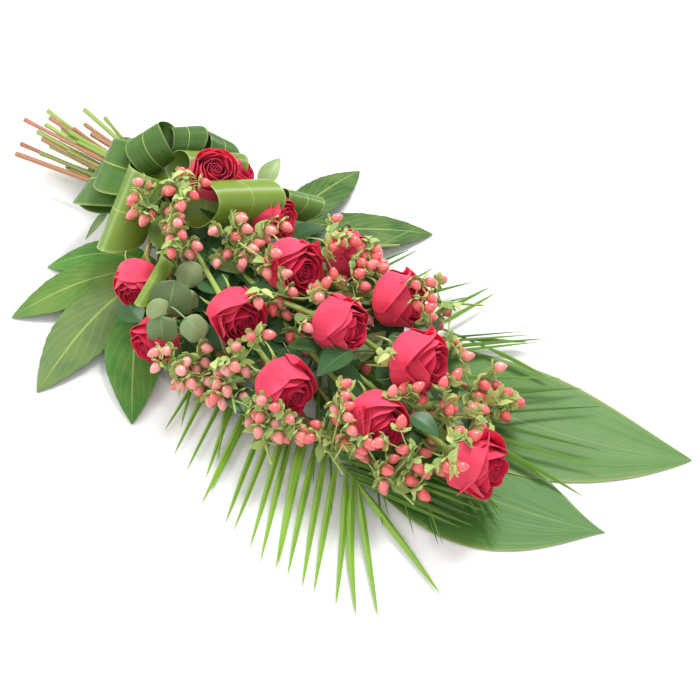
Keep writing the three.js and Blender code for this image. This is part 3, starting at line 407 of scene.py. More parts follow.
def shaped(columns, rows, place, tone=0.0):
    """A sheet whose every point is put in its place by a formula."""
    s, t, faces = flat_grid(columns, rows)
    return Form(place(s, t), faces, np.stack([(t + 1) / 2, s], 1), tone)


def tube(points, radii, count, tone):
    """A round rod along a line, closed at both ends."""
    points = np.asarray(points, float)
    radii = np.broadcast_to(np.asarray(radii, float), (len(points),))
    run = np.gradient(points, axis=0)
    run /= np.linalg.norm(run, axis=1, keepdims=True) + 1e-9
    first = np.array([1.0, 0, 0]) if abs(run[:, 2]).mean() > 0.9 else UP
    across = np.cross(first, run)
    across /= np.linalg.norm(across, axis=1, keepdims=True) + 1e-9
    other = np.cross(run, across)
    picks = [0, *range(len(points)), len(points) - 1]
    girth = np.array([0, *radii, 0])
    last = len(picks) - 1

    def place(s, t):
        k = np.round(s * last).astype(int)
        angle = t * math.pi
        pick = np.array(picks)[k]
        ring = across[pick] * np.cos(angle)[:, None] + other[pick] * np.sin(angle)[:, None]
        return points[pick] + ring * girth[k][:, None]

    return shaped(count, last, place, tone)


def blade(base, out, length, width, arch, rows, columns, tone, teeth, roll):
    """An oval pointed leaf from its base along a direction, arched, folded and toothed."""
    flat = unit(np.cross(UP, out)) if abs(out[2]) < 0.97 else np.array([0, 1.0, 0])
    over = np.cross(out, flat)
    flat, over = (
        flat * math.cos(roll) + over * math.sin(roll),
        over * math.cos(roll) - flat * math.sin(roll),
    )

    def place(s, t):
        # The outline: an oval, widest before its middle, with eleven teeth a side.
        half = width / 2 * np.sin(math.pi * s**0.8) ** 0.85 * (1 - 0.25 * s) * 1.12
        half = half * (1 + teeth * ((s * 11) % 1.0))
        lift = length * arch * (0.25 - (s - 0.5) ** 2) * 4 * 0.5
        lift = lift + LEAF_FOLD * half * np.abs(t) - length * arch * s**2
        return base + np.outer(s * length, out) + np.outer(t * half, flat) + np.outer(lift, over)

    return shaped(columns, rows, place, tone)


# Pieces


def object_of(name, forms, materials):
    """A mesh gathered from some forms, with its pattern places and its tones."""
    points = np.vstack([form.points for form in forms])
    starts = np.cumsum([0, *[len(form.points) for form in forms[:-1]]])
    faces = np.vstack([form.faces + start for form, start in zip(forms, starts)])
    places = np.vstack([form.places for form in forms])
    mesh = bpy.data.meshes.new(name)
    mesh.from_pydata((points + OFFSET) * MM, [], faces.tolist())
    corners = np.zeros(len(mesh.loops), int)
    mesh.loops.foreach_get("vertex_index", corners)
    mesh.uv_layers.new(name="UVMap").data.foreach_set("uv", places[corners].ravel())
    tones = mesh.attributes.new("tone", "FLOAT", "POINT")
    tones.data.foreach_set("value", np.concatenate([form.tone for form in forms]))
    for material in materials:
        mesh.materials.append(material)
    made = bpy.data.objects.new(name, mesh)
    bpy.context.scene.collection.objects.link(made)
    return made


def only(made):
    bpy.ops.object.select_all(action="DESELECT")
    made.select_set(True)
    bpy.context.view_layer.objects.active = made


def welded(made, thickness=0.0):
    """Merges doubled points, gives a sheet its thickness and turns the faces outwards."""
    only(made)
    bpy.ops.object.mode_set(mode="EDIT")
    bpy.ops.mesh.select_all(action="SELECT")
    bpy.ops.mesh.remove_doubles(threshold=0.00002)
    bpy.ops.object.mode_set(mode="OBJECT")
    if thickness:
        bpy.ops.object.modifier_add(type="SOLIDIFY")
        wall = made.modifiers[-1]
        wall.thickness = thickness
        wall.offset = 0
        wall.use_even_offset = False
        wall.material_offset = wall.material_offset_rim = len(made.data.materials) - 1
        bpy.ops.object.modifier_apply(modifier=wall.name)
    bpy.ops.object.mode_set(mode="EDIT")
    bpy.ops.mesh.select_all(action="SELECT")
    bpy.ops.mesh.normals_make_consistent(inside=False)
    bpy.ops.object.mode_set(mode="OBJECT")
    return made


def finished(name, slot, nodes, *materials, rods=(), blades=(), thickness=0.0, angle=50):
    """One piece of the sheaf from its round forms and its thin ones, in the place of CAD nodes.
    Of two materials, the second is on the outside."""
    parts = []
    if len(rods):
        parts.append(welded(object_of(name, list(rods), materials)))
    if len(blades):
        parts.append(welded(object_of(name + "_leaves", list(blades), materials), thickness))
    made = parts[0]
    if len(parts) > 1:
        only(made)
        parts[1].select_set(True)
        bpy.ops.object.join()
    made.name = name
    made.data.name = name
    only(made)
    bpy.ops.object.shade_smooth_by_angle(angle=math.radians(angle))
    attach(made, "root")
    if nodes:
        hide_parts(*nodes)
    return made


def stem_line(node, end):
    """A stem's smooth course, read from the rings of its CAD node, on to where its head starts."""
    corners = np.array([v.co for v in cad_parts[node].data.vertices]) / MM - OFFSET
    # The CAD stems have their rings here. A wide one, or one near the head, isn't the stem's.
    stations = [corners[:, 0].min(), *range(-130, 0, 60), 10, *range(70, 500, 60)]
    widest, before_end = 14, 8
    line = []
    for x in sorted(stations):
        ring = np.unique(np.round(corners[abs(corners[:, 0] - x) < 0.1], 1), axis=0)
        if len(ring) != 4 or x >= end[0] - before_end:
            continue
        if np.ptp(ring[:, 1:], axis=0).max() < widest:
            line.append(ring.mean(0))
    cut = CUT_ENDS.get(node.replace("_stem", ""))
    if cut:  # the pull of the cut end fades toward the tie
        step = np.array(cut, float) - line[0]
        line = [spot + step * max(0.0, spot[0] / line[0][0]) ** 1.2 for spot in line]
    return curve_through([*line, end], 4)


# Space that is taken, so that leaves and berries keep clear of one another


class Space:
    """Balls that nothing else may enter."""

    def __init__(self):
        self.centres, self.radii = np.zeros((0, 3)), np.zeros(0)

    def add(self, centre, radius):
        self.centres = np.vstack([self.centres, centre])
        self.radii = np.append(self.radii, radius)

    def room(self, centre):
        """The distance from a point to the nearest ball's skin."""
        return float((np.linalg.norm(self.centres - centre, axis=1) - self.radii).min())

    def in_sight(self, spot):
        """How much nearer the camera each ball is than a point, and how far off its view."""
        toward = unit(EYE - spot)
        away = self.centres - spot
        along = away @ toward
        return along, np.linalg.norm(away - np.outer(along, toward), axis=1)

    def shelters(self, spot):
        """Whether a ball stands between a point and the camera."""
        along, off = self.in_sight(spot)
        return bool(((along > 4) & (off < self.radii * 0.85)).any())

    def hidden_by(self, spot, margin):
        """Whether a thing at this point would hide a ball from the camera."""
        along, off = self.in_sight(spot)
        return bool(((along < 4) & (off < self.radii + margin)).any())


def space_of_the_rest():
    """The space that the blooms, the rolled leaves and the berries in view take."""
    space = Space()
    for x, y, z, heading, pitch in ROSES:
        axis = direction(heading, pitch)
        for along, radius in ((-10, 20), (4, 24), (14, 22)):
            space.add(np.array([x, y, z]) + axis * along, radius)
    for *ends, radius, _tone, _lean in ROLLS.values():
        root, near, far = (np.array(p, float) for p in ends)
        for share in np.linspace(0, 1, 7):
            tip = mixed(near, far, share)
            space.add(tip, radius + 1)
            space.add(mixed(tip, root, 0.45), radius * 0.7)
    for head in BERRIES:
        for spot in head:
            space.add(np.array(spot, float), BERRY_BALL)
    return space


TAKEN = space_of_the_rest()


# Materials


def shade(colour):
    """A node's colour, from hex or from a property that is linear already."""
    return (*(linear(colour) if isinstance(colour, str) else colour), 1.0)


class Paint:
    """A material and what its patterns share: the place across the piece, -1 to 1, and along
    it, 0 to 1, the tone of each form, and broad and fine mottling. Its base is one colour, or
    the stops of a ramp that the tone runs along."""

    def __init__(self, name, base, **values):
        self.material = bpy.data.materials.new(name)
        self.material.use_nodes = True
        self.tree = self.material.node_tree
        self.skin = self.tree.nodes["Principled BSDF"]
        for socket, value in values.items():
            self.skin.inputs[socket.replace("_", " ")].default_value = value
        parts = self.add("SeparateXYZ", (self.add("UVMap", uv_map="UVMap"),)).node.outputs
        self.across = self.add("Math", (parts[0], 2.0, -1.0), operation="MULTIPLY_ADD")
        self.along = parts[1]
        self.tone = self.add("Attribute", output="Fac", attribute_name="tone")
        place = self.add("TexCoord", output="Object")
        self.broad, self.fine = (
            self.add("TexNoise", {"Vector": place, "Scale": scale, "Detail": 3.0})
            for scale in (PATCH_SCALE, GRAIN_SCALE)
        )
        self.base = base
        if isinstance(base, list):
            self.base = self.add("ValToRGB", (self.tone,), stops=base)

    def add(self, kind, inputs=(), output=0, stops=(), **settings):
        """Adds a node with its settings, its inputs as values or links, and a ramp's stops, and
        gives one of its outputs."""
        made = self.tree.nodes.new("ShaderNode" + kind)
        for name, value in settings.items():
            setattr(made, name, value)
        while stops and len(made.color_ramp.elements) < len(stops):
            made.color_ramp.elements.new(0.5)
        for k, (place, colour) in enumerate(stops):
            made.color_ramp.elements[k].position = place
            made.color_ramp.elements[k].color = shade(colour)
        given = inputs.items() if isinstance(inputs, dict) else enumerate(inputs)
        for socket, value in given:
            entry = made.inputs[socket]
            if isinstance(value, bpy.types.NodeSocket):
                self.tree.links.new(value, entry)
            else:
                entry.default_value = shade(value) if entry.type == "RGBA" else value
        return made.outputs[output]

    def line(self, value, width):
        """One on a line where a value is nought, fading to nought at a width from it."""
        away = self.add("Math", (value,), operation="ABSOLUTE")
        share = self.add("Math", (away, width), operation="DIVIDE")
        return self.add("Math", (1.0, share), operation="SUBTRACT", use_clamp=True)

    def streaks(self, across, along, detail):
        """Streaks along the piece: this many across half of it, and this many along it."""
        place = self.add("CombineXYZ", (
            self.add("Math", (self.across, across), operation="MULTIPLY"),
            self.add("Math", (self.along, along), operation="MULTIPLY"),
            self.tone,
        ))
        return self.add("TexNoise", {"Vector": place, "Scale": 1.0, "Detail": detail})

    def wash(self, pattern, strength, colour, gain=None, level=0.0):
        """Washes a colour over the base where a pattern is strong. A gain and a level sharpen
        the pattern's edges first."""
        if gain:
            pattern = self.add(
                "Math", (pattern, gain, level), operation="MULTIPLY_ADD", use_clamp=True
            )
        share = self.add("Math", (pattern, strength), operation="MULTIPLY")
        self.base = self.add("Mix", {0: share, 6: self.base, 7: colour}, 2, data_type="RGBA")

    def relief(self, strength, depth, *waves):
        """Raises the surface by some patterns, each by its share, and gives the material."""
        height = 0.0
        for pattern, share in waves:
            height = self.add("Math", (pattern, share, height), operation="MULTIPLY_ADD")
        bump = {"Strength": strength, "Distance": depth, "Height": height}
        self.tree.links.new(self.add("Bump", bump), self.skin.inputs["Normal"])
        self.tree.links.new(self.base, self.skin.inputs["Base Color"])
        return self.material


def petal_velvet(name, outer, mottle, colours):
    """Rose petal: soft cells that scatter light, so it is matt with a pale sheen at grazing
    angles. It is lightest outside and deepest in the heart of the bloom, with a paler foot and
    a painted highlight along its rim, where the curled edge would catch the light."""
    paint = Paint(
        name, [(0.0, colours.heart), (0.35, "#D80C44"), (0.8, outer)],
        Roughness=0.55, IOR=1.4, Specular_IOR_Level=0.25, Sheen_Weight=0.16, Sheen_Roughness=0.4,
        Sheen_Tint=shade("#FFBCC8"), Subsurface_Weight=0.1, Subsurface_Scale=0.003,
        Subsurface_Radius=(1.0, 0.2, 0.2),
    )
    # Painted highlight: the rim is washed paler, as if its curled edge caught the light.
    rim = paint.add("Math", (paint.along, 16.0), operation="POWER")
    paint.wash(rim, 0.3, "#F0607A")
    paint.wash(paint.along, 0.15, "#E8706C", -2.6, 1.0)  # the foot
    paint.wash(paint.broad, 0.3, mottle, 2.4, -0.8)
    veins = paint.streaks(11.0, 1.6, 5.0)
    paint.wash(veins, 0.28, mottle, 2.2, -0.8)
    return paint.relief(0.2, 0.001, (paint.fine, 1.0), (paint.broad, 4.0), (veins, 2.5))


def berry_skin(colours):
    """Hypericum berry: a thin waxed skin over wet flesh, so it is glossy. It is paler where it
    hasn't ripened, and redder at its tip."""
    paint = Paint(
        "berry_skin", colours.berry,
        Roughness=0.32, IOR=1.42, Coat_Weight=0.8, Coat_Roughness=0.08, Subsurface_Weight=0.15,
        Subsurface_Scale=0.003, Subsurface_Radius=(1.0, 0.4, 0.3),
    )
    paint.wash(paint.tone, 1.0, colours.berry_pale)
    paint.wash(paint.broad, 0.35, "#FFA49E")
    tip = paint.add("Math", (paint.along, 4.0), operation="POWER")
    paint.wash(tip, 0.3, "#E2485A")
    return paint.relief(0.04, 0.0004, (paint.fine, 1.0))


def leaf_flesh(name, stops, vein, ribs, roughness, coat, patch, mottle=0.3, vein_mix=0.5):
    """Fresh leaf: waxy skin over veins. Ribs are the number of its side veins and how far they
    slant; its midrib is paler. The tone picks the green, and patches lighten and darken it."""
    paint = Paint(
        name, stops, Roughness=roughness, IOR=1.42, Specular_IOR_Level=0.3, Coat_Weight=coat,
        Coat_Roughness=0.25, Subsurface_Weight=0.12, Subsurface_Scale=0.002,
        Subsurface_Radius=(0.5, 1.0, 0.2),
    )
    paint.wash(paint.broad, mottle, patch, 3.2, -1.2)
    paint.wash(paint.broad, mottle, stops[0][1], -3.4, 1.55)
    count, slant = ribs
    off = paint.add("Math", (paint.across,), operation="ABSOLUTE")
    slanted = paint.add("Math", (off, -slant, paint.along), operation="MULTIPLY_ADD")
    wave = paint.add("Math", (slanted, count), operation="MULTIPLY")
    wave = paint.add("Math", (wave,), operation="FRACT")
    side = paint.line(paint.add("Math", (wave, 0.5), operation="SUBTRACT"), 0.09)
    side = paint.add("Math", (side, 0.28), operation="MULTIPLY")
    lines = paint.add("Math", (side, paint.line(paint.across, 0.055)), operation="MAXIMUM")
    paint.wash(lines, vein_mix, vein)
    return paint.relief(0.35, 0.0008, (lines, -1.0), (paint.fine, 0.4))


def grass_like(name, stops, vein, count, roughness, coat, midrib=0.0, edge=None):
    """Leaf of a lily's kind: parallel veins run its whole length, a millimetre or so apart,
    so it shines in long streaks. A broad one has a pale midrib and a pale edge."""
    paint = Paint(
        name, stops, Roughness=roughness, IOR=1.42, Specular_IOR_Level=0.3, Coat_Weight=coat,
        Coat_Roughness=0.2,
    )
    streaks = paint.streaks(count * 0.5, 3.0, 4.0)
    paint.wash(streaks, 0.34, vein, 2.6, -0.9)
    paint.wash(paint.broad, 0.25, "#2F6B2C", 2.0, -0.7)
    if midrib:
        share = paint.add("Math", (paint.tone, -0.65 * midrib, midrib), operation="MULTIPLY_ADD")
        paint.wash(paint.line(paint.across, 0.03), share, "#C9D274")
    if edge:
        off = paint.add("Math", (paint.across,), operation="ABSOLUTE")
        paint.wash(paint.add("Math", (off, 26.0), operation="POWER"), 0.6, edge)
    angle = paint.add("Math", (paint.across, count * math.pi), operation="MULTIPLY")
    veins = paint.add("Math", (angle,), operation="SINE")
    return paint.relief(0.16, 0.0006, (veins, 1.0), (streaks, 1.5))


def stem_bark(name, stops):
    """Cut stem: smooth green skin with faint lines along it."""
    paint = Paint(name, stops, Roughness=0.45, IOR=1.42, Coat_Weight=0.1)
    paint.wash(paint.broad, 0.3, "#6E7F38")
    angle = paint.add("Math", (paint.across, 24.0), operation="MULTIPLY")
    lines = paint.add("Math", (angle,), operation="SINE")
    return paint.relief(0.2, 0.0006, (lines, 0.4), (paint.fine, 1.0))


def twine_fibre(colours):
    """Jute twine: dull twisted fibres, each strand slanting across the turn."""
    paint = Paint("twine_fibre", "#8F7445", Roughness=0.9, Sheen_Weight=0.2)
    turned = paint.add("Math", (paint.across, 3.0), operation="MULTIPLY")
    twist = paint.add("Math", (paint.along, 120.0, turned), operation="MULTIPLY_ADD")
    strand = paint.add("Math", (twist,), operation="SINE")
    strand = paint.add("Math", (strand, 0.5, 0.5), operation="MULTIPLY_ADD")
    paint.wash(strand, 0.5, colours.twine)
    return paint.relief(0.5, 0.001, (strand, 1.0))


# Roses


def rose_petal(radius, height, span, turn, pinch, curl, tone, droop, phase):
    """One petal in an upright bloom, from its sunk foot out round the belly and up to its rim."""
    foot = 3.5

    def place(s, t):
        # It swells up to half its height, draws in above that, and curls back at its rim.
        belly = np.sin(np.clip(s / 0.5, 0, 1) * math.pi / 2)
        upper = np.clip((s - 0.5) / 0.5, 0, 1)
        rim = np.clip((s - 0.78) / 0.22, 0, 1)
        back = curl * (0.45 + 0.9 * t**2) * rim**1.6
        ripple = 1.1 * np.sin(3.1 * t + phase) + 0.5 * np.sin(7 * t + 3 * phase)
        out = foot + (radius - foot) * belly - pinch * upper**1.6 + back
        out = out + 1.4 * t + ripple * upper
        out = out + 0.35 * np.sin(5 * t + 2 * phase) * np.sin(5 * s)
        angle = turn + t * span / 2 * (0.4 + 0.6 * belly) * (1 - 0.14 * rim)
        lift = height * (0.22 * s + 0.78 * s**1.9)
        lift = lift - droop * np.abs(t) ** 2.4 * s**3 - 0.6 * back
        # The rim waves, and comes to a low point in its middle.
        lift = lift + (0.9 * np.sin(4 * t + 2 * phase) + 1.8 * np.exp(-(t**2) * 8)) * rim
        return np.stack([out * np.cos(angle), out * np.sin(angle), lift], 1)

    return shaped(14, 12, place, tone)


def rose_form(width, height, seed, opened):
    """A whole bloom, upright: a tight spiral heart inside layers of lapping petals."""
    random = np.random.RandomState(seed)
    turns = 2.7

    def spiral(s, t):
        wound = (t + 1) / 2
        angle = wound * 2 * math.pi * turns
        out = 1.0 + 7.2 * wound - 0.8 * s**2 + 0.25 * np.sin(7 * angle / 3)
        lift = height * (0.25 + 0.74 * s) + 0.7 * np.sin(angle * 1.3) * s - 1.5 * wound * s
        return np.stack([out * np.cos(angle), out * np.sin(angle), lift], 1)

    petals = [shaped(64, 5, spiral, 0.05)]
    # The petals in each layer, their width and height beside the bloom's, how many degrees one
    # spans, how far its rim draws in and curls back, its tone, and how far its sides droop.
    layers = [
        (3, 0.40, 0.99, 160, 1.4, 0.4, 0.10, 4),
        (3, 0.52, 1.01, 150, 2.0, 0.9, 0.22, 5),
        (3, 0.64, 1.01, 146, 3.0, 1.4, 0.36, 7),
        (4, 0.78, 0.99, 128, 4.2, 2.2, 0.55, 8),
        (4, 0.92, 0.96, 126, 5.6, 3.6, 0.8, 9),
        (3, 1.00, 0.92, 150, 5.4, 6.0, 1.0, 9),
    ]
    start = random.rand() * 6
    for count, wide, tall, span, pinch, curl, tone, droop in layers:
        start += 1.1
        for i in range(count):
            turn = start + 2 * math.pi * i / count + 0.25 * (random.rand() - 0.5)
            swing = random.rand()
            petals.append(
                rose_petal(
                    width * wide * (1 + 0.06 * (random.rand() - 0.5)),
                    height * tall * (1 + 0.09 * (random.rand() - 0.5)),
                    math.radians(span), turn, pinch * (1.2 - opened),
                    curl * (0.5 + opened + 0.5 * swing),
                    min(1.0, tone + 0.08 * random.rand()), droop, swing * 6,
                )
            )
    return petals


def sepals(end, axis, random):
    """The hip and the five narrow sepals that curl back from under the bloom."""
    steps = [end - axis * 5, end - axis, end + axis * 3, end + axis * 7]
    hip = tube(steps, [2.2, 5.0, 6.2, 5.0], 10, 0.25)
    leaves = []
    for k in range(5):
        out = around(axis, 2 * math.pi * k / 5 + 0.3 * random.rand())
        curl = 10 + 12 * random.rand()

        def place(s, t, out=out, curl=curl):
            across = np.cross(axis, out)
            half = 4.2 * (1 - s) ** 0.7 * (0.6 + 0.5 * np.sin(math.pi * np.clip(s * 2, 0, 1)))
            reach = 4 + 17 * np.sin(s * 1.5)
            lift = 2 + 9 * np.sin(s * 2.4) - curl * s**2
            spot = end + np.outer(reach, out) + np.outer(lift, axis)
            return spot + np.outer(t * half, across) + np.outer(0.9 * np.abs(t), axis)

        leaves.append(shaped(2, 7, place, 0.3 + 0.3 * random.rand()))
    return hip, leaves


class SHEAF_OT_blooms(bpy.types.Operator):
    """Model every rose bloom, petal by petal, where its CAD bloom stands"""

    bl_idname = "sheaf.blooms"
    bl_label = "Rose blooms"

    def execute(self, context):
        sizes, colours = context.scene.sheaf_sizes, context.scene.sheaf_colours
        velvet = petal_velvet("petal_velvet", colours.petal, "#D0203F", colours)
        lining = petal_velvet("petal_lining", "#D8143F", "#B00430", colours)
        for i, (x, y, z, heading, pitch) in enumerate(ROSES):
            random = np.random.RandomState(40 + i)
            opened = 0.15 + 0.5 * random.rand()
            petals = rose_form(sizes.bloom_radius / MM, sizes.bloom_height / MM, 60 + i, opened)
            axis = direction(heading, pitch)
            scale = BLOOM_SCALES[i]
            base = np.array([x, y, z]) - axis * (BLOOM_BACK - HIP) * scale
            petals = [petal.placed(base, axis, i * 2.1, scale) for petal in petals]
            name = f"rose_{i + 1}"
            finished(
                name, "petal", [f"{name}_bloom"], lining, velvet, blades=petals,
                thickness=sizes.petal,
            )
        return {"FINISHED"}


class SHEAF_OT_rose_greens(bpy.types.Operator):
    """Model each rose's stem, hip, sepals and leaves"""

    bl_idname = "sheaf.rose_greens"
    bl_label = "Rose stems and leaves"

    def execute(self, context):
        self.sizes, colours = context.scene.sheaf_sizes, context.scene.sheaf_colours
        bark = stem_bark(
            "rose_stem_skin", [(0.0, colours.stem), (0.5, "#A9BC62"), (1.0, "#B1745A")]
        )
        # Rose leaf: thin and nearly matt, a dark blue-green that is paler in the young ones.
        self.flesh = leaf_flesh(
            "rose_leaf_flesh",
            [(0.0, "#345A32"), (0.5, colours.rose_leaf), (0.8, "#74903F"), (1.0, "#A5BC80")],
            "#7E9F63", (9, 0.35), 0.4, 0.2, "#44714A",
        )
        axes = [direction(heading, pitch) for *_, heading, pitch in ROSES]
        ends = [
            np.array(rose[:3]) - axis * BLOOM_BACK * scale
            for rose, axis, scale in zip(ROSES, axes, BLOOM_SCALES)
        ]
        lines = [stem_line(f"rose_{i + 1}_stem", end) for i, end in enumerate(ends)]
        gaps = [[] for _ in lines]
        for *ends_of, width, tone in GAP_LEAVES:
            root, tip = np.array(ends_of[:3], float), np.array(ends_of[3:], float)
            near = [line[np.argmin(np.linalg.norm(line - root, axis=1))] for line in lines]
            best = int(np.argmin([np.linalg.norm(spot - root) for spot in near]))
            gaps[best].append((near[best], root, tip, width, tone))
        for i, line in enumerate(lines):
            random = np.random.RandomState(140 + i)
            name = f"rose_{i + 1}"
            girth = self.sizes.rose_stem / MM * (1 + 0.12 * (np.arange(len(line)) % 5 == 0))
            hip, leaves = sepals(ends[i], axes[i], random)
            finished(
                f"{name}_greens", "rose_stem", [f"{name}_stem"], bark,
                rods=[tube(line, girth, 8, ROSE_REDNESS[i]), hip], blades=leaves,
                thickness=self.sizes.leaf,
            )
            self.leaves_of(name, line, random, gaps[i])
        return {"FINISHED"}

    def leaves_of(self, name, line, random, gaps):
        """The leaves of one stem: those that fill gaps, then others in the free space below."""
        leaves, stalks = [], []

        def grow(foot, root, way, length, width, arch, tone, turn, tip):
            leaves.append(blade(root, way, length, width, arch, 10, 6, tone, 0.07, turn))
            stalks.append(tube([foot, mixed(foot, root, 0.5) + [0, 0, 1], tip], 0.9, 6, 0.3))

        for foot, root, tip, width, tone in gaps:
            run = tip - root
            length = np.linalg.norm(run)
            turn = 0.3 * random.randn()
            grow(foot, root, run / length, length, width, 0.1, tone, turn, mixed(root, tip, 0.05))
            TAKEN.add(mixed(root, tip, 0.5), 5)
        for _ in range(LEAF_TRIES):
            if len(leaves) >= STEM_LEAVES:
                break
            foot = line[-1 - int(random.rand() * min(len(line) - 3, 16))]
            if foot[0] < BARE_STEM:
                continue
            level = direction(360 * random.rand(), 0)[:2]
            out = unit(np.array([*level, 0.8 * random.rand() - 0.35]))
            root = foot + out * (5 + 16 * random.rand())
            length = 36 + 14 * random.rand()
            spots = [root + out * length * share for share in (0.3, 0.65, 1.0)]
            if min(TAKEN.room(spot) for spot in spots) < 3 or min(spot[2] for spot in spots) < 8:
                continue
            if any(TAKEN.hidden_by(spot, 7) for spot in spots[:2]):
                continue
            tone, turn = 0.25 * random.rand(), 0.5 * random.randn()
            grow(foot, root, out, length, length * 0.6, 0.12, tone, turn, root + out)
            TAKEN.add(root + out * length * 0.5, 5)
        if leaves:
            finished(
                f"{name}_leaves", "rose_stem", [], self.flesh, rods=stalks, blades=leaves,
                thickness=self.sizes.leaf,
            )


# Hypericum


def berry_form(length, width):
    """One upright berry, blunt at its foot and pointed at its tip."""

    def place(s, t):
        half = width / 2 * np.sin(math.pi * s**0.82) ** 0.62 * (1 - 0.12 * s)
        angle = t * math.pi
        return np.stack([half * np.cos(angle), half * np.sin(angle), length * s], 1)

    return shaped(8, 7, place)


def calyx_form(width):
    """The five round-tipped sepals that hold a berry's foot, upright."""
    sheets = []
    for k in range(5):
        turn = 2 * math.pi * k / 5

        def place(s, t, turn=turn):
            half = 3.0 * np.sin(math.pi * (0.1 + 0.82 * s)) ** 0.8
            reach = 0.8 + (width / 2 + 2.6) * np.sin(s * 1.6)
            lift = -0.8 + 0.4 * s + 2.6 * s**2
            x = reach * math.cos(turn) - t * half * math.sin(turn)
            y = reach * math.sin(turn) + t * half * math.cos(turn)
            return np.stack([x, y, lift + 0.4 * np.abs(t)], 1)

        sheets.append(shaped(2, 3, place))
    return sheets


class SHEAF_OT_hypericum(bpy.types.Operator):
    """Model each forked hypericum spray with its berries, calyces and small leaves"""

    bl_idname = "sheaf.hypericum"
    bl_label = "Hypericum"

    def execute(self, context):
        sizes, colours = context.scene.sheaf_sizes, context.scene.sheaf_colours
        skin = berry_skin(colours)
        bark = stem_bark("hypericum_bark", [(0.0, "#8DA24C"), (0.6, "#A5824F"), (1.0, "#B4705C")])
        # Hypericum leaf and calyx: soft, pale yellow-green and nearly matt.
        sprig = leaf_flesh(
            "hypericum_leaf_flesh", [(0.0, "#7C9A58"), (0.5, colours.sprig), (1.0, "#CBD483")],
            "#CEDA98", (7, 0.3), 0.5, 0.05, "#7FA565",
        )
        self.berry = berry_form(sizes.berry_length / MM, sizes.berry_width / MM)
        self.calyx = calyx_form(sizes.berry_width / MM)
        self.half = sizes.berry_length / MM / 2
        for i, (*end, heading, pitch) in enumerate(SPRAYS):
            name = f"hypericum_{i + 1}"
            self.random = np.random.RandomState(240 + i)
            self.pale = PALENESS[i]
            # The way its berries hang: down in a flat head, and up a little in a steep one.
            self.fall = direction(heading, -18 if pitch < 20 else 10)
            end = np.array(end, float)
            line = stem_line(name, end)
            girth = sizes.spray_stem / MM * (1 + 0.3 * (np.arange(len(line)) % 4 == 0))
            stalk = tube(line, girth, 8, REDNESS[i])
            finished(f"{name}_stalk", "rose_stem", [], bark, rods=[stalk])
            self.rods, self.fruit, self.leaves = [], [], []
            self.head(BERRIES[i], end, direction(heading, pitch))
            finished(f"{name}_berries", "berry", [], skin, rods=self.fruit)
            finished(
                f"{name}_sprig", "rose_stem", [name], sprig, rods=self.rods, blades=self.leaves,
                thickness=0.0005,
            )
        return {"FINISHED"}

    def head(self, measured, end, axis):
        """The forked head: berries in threes, on branches from one stalk."""
        draw = self.random.rand
        spots = [np.array(spot, float) for spot in measured]
        for _ in range(BERRY_TRIES):
            if len(spots) >= len(measured) + HIDDEN_BERRIES:
                break
            turn = around(axis, draw() * 6.3)
            spot = end + axis * (4 + 46 * draw()) + turn * (8 + 26 * draw())
            free = spot[2] > 9 and spot[1] < BERRY_EDGE and TAKEN.room(spot) > 5
            if free and TAKEN.shelters(spot):
                spots.append(spot)
                TAKEN.add(spot, BERRY_BALL)
        top = end + axis * 40
        self.rods.append(tube([end - axis, mixed(end, top, 0.5), top], [1.6, 1.4, 0.9], 6, 0.5))
        while spots:
            apart = [np.linalg.norm(spot - spots[0]) for spot in spots]
            order = [k for k in np.argsort(apart) if apart[k] < 25][: 3 + int(draw() * 1.6)]
            self.cyme([spots[k] for k in order], end, axis)
            spots = [spot for k, spot in enumerate(spots) if k not in order]
        self.small_leaves(end, axis, 18)
        self.small_leaves(end + axis * 14, axis, 15)

    def cyme(self, group, end, axis):
        """A branch to a fork, and a short stalk from the fork to each of its berries."""
        random = self.random
        middle = np.mean(group, axis=0)
        root = end + axis * min(36.0, max(0.0, 0.55 * (middle - end) @ axis))
        general = unit(unit(middle - root) + 0.8 * self.fall)
        # Of ten forks near the middle of the group, the one with the most room around it.
        best = None
        for _ in range(10):
            way = unit(general + 0.45 * random.randn(3))
            fork = middle - way * (12 + 4 * random.rand())
            room = min(TAKEN.room(fork), 2.5, fork[2] - 8)
            if best is None or room > best[0]:
                best = (room, way, fork)
        _, way, fork = best
        # The branch is lowered until it clears its neighbours.
        half = mixed(root, fork, 0.5)
        while TAKEN.room(half) < 1.5 and half[2] > 14:
            half = half - [0, 0, 5]
        branch = curve_through([root, half, fork], 4)
        self.rods.append(tube(branch, [0.9] * 5 + [0.7] * 4, 5, 0.7))
        self.small_leaves(fork, way, 12 + 4 * random.rand())
        toward = unit(EYE - middle)
        for spot in group:
            # Each berry hangs a little, and turns its side to the camera, not its tip.
            out = unit(unit(spot - fork) + 0.6 * self.fall)
            out = unit(out - 0.65 * max(0.0, out @ toward) * toward)
            foot = spot - out * self.half
            bow = mixed(fork, foot, 0.55) + 1.5 * unit(random.randn(3))
            self.rods.append(tube(curve_through([fork, bow, foot + out], 2), 0.55, 5, 0.9))
            self.hang(foot, out)

    def hang(self, foot, way):
        """A berry in its calyx."""
        random = self.random
        turn, scale = random.rand() * 6, 0.94 + 0.14 * random.rand()
        tone = min(1.0, max(0.0, self.pale + 0.3 * random.randn()))
        self.fruit.append(self.berry.placed(foot, way, turn, scale, tone))
        green = 0.4 + 0.6 * random.rand()
        self.leaves += [sheet.placed(foot, way, turn, scale, green) for sheet in self.calyx]
        if random.rand() < 0.45:
            self.small_leaves(foot - way * 3, way, 9 + 3 * random.rand())

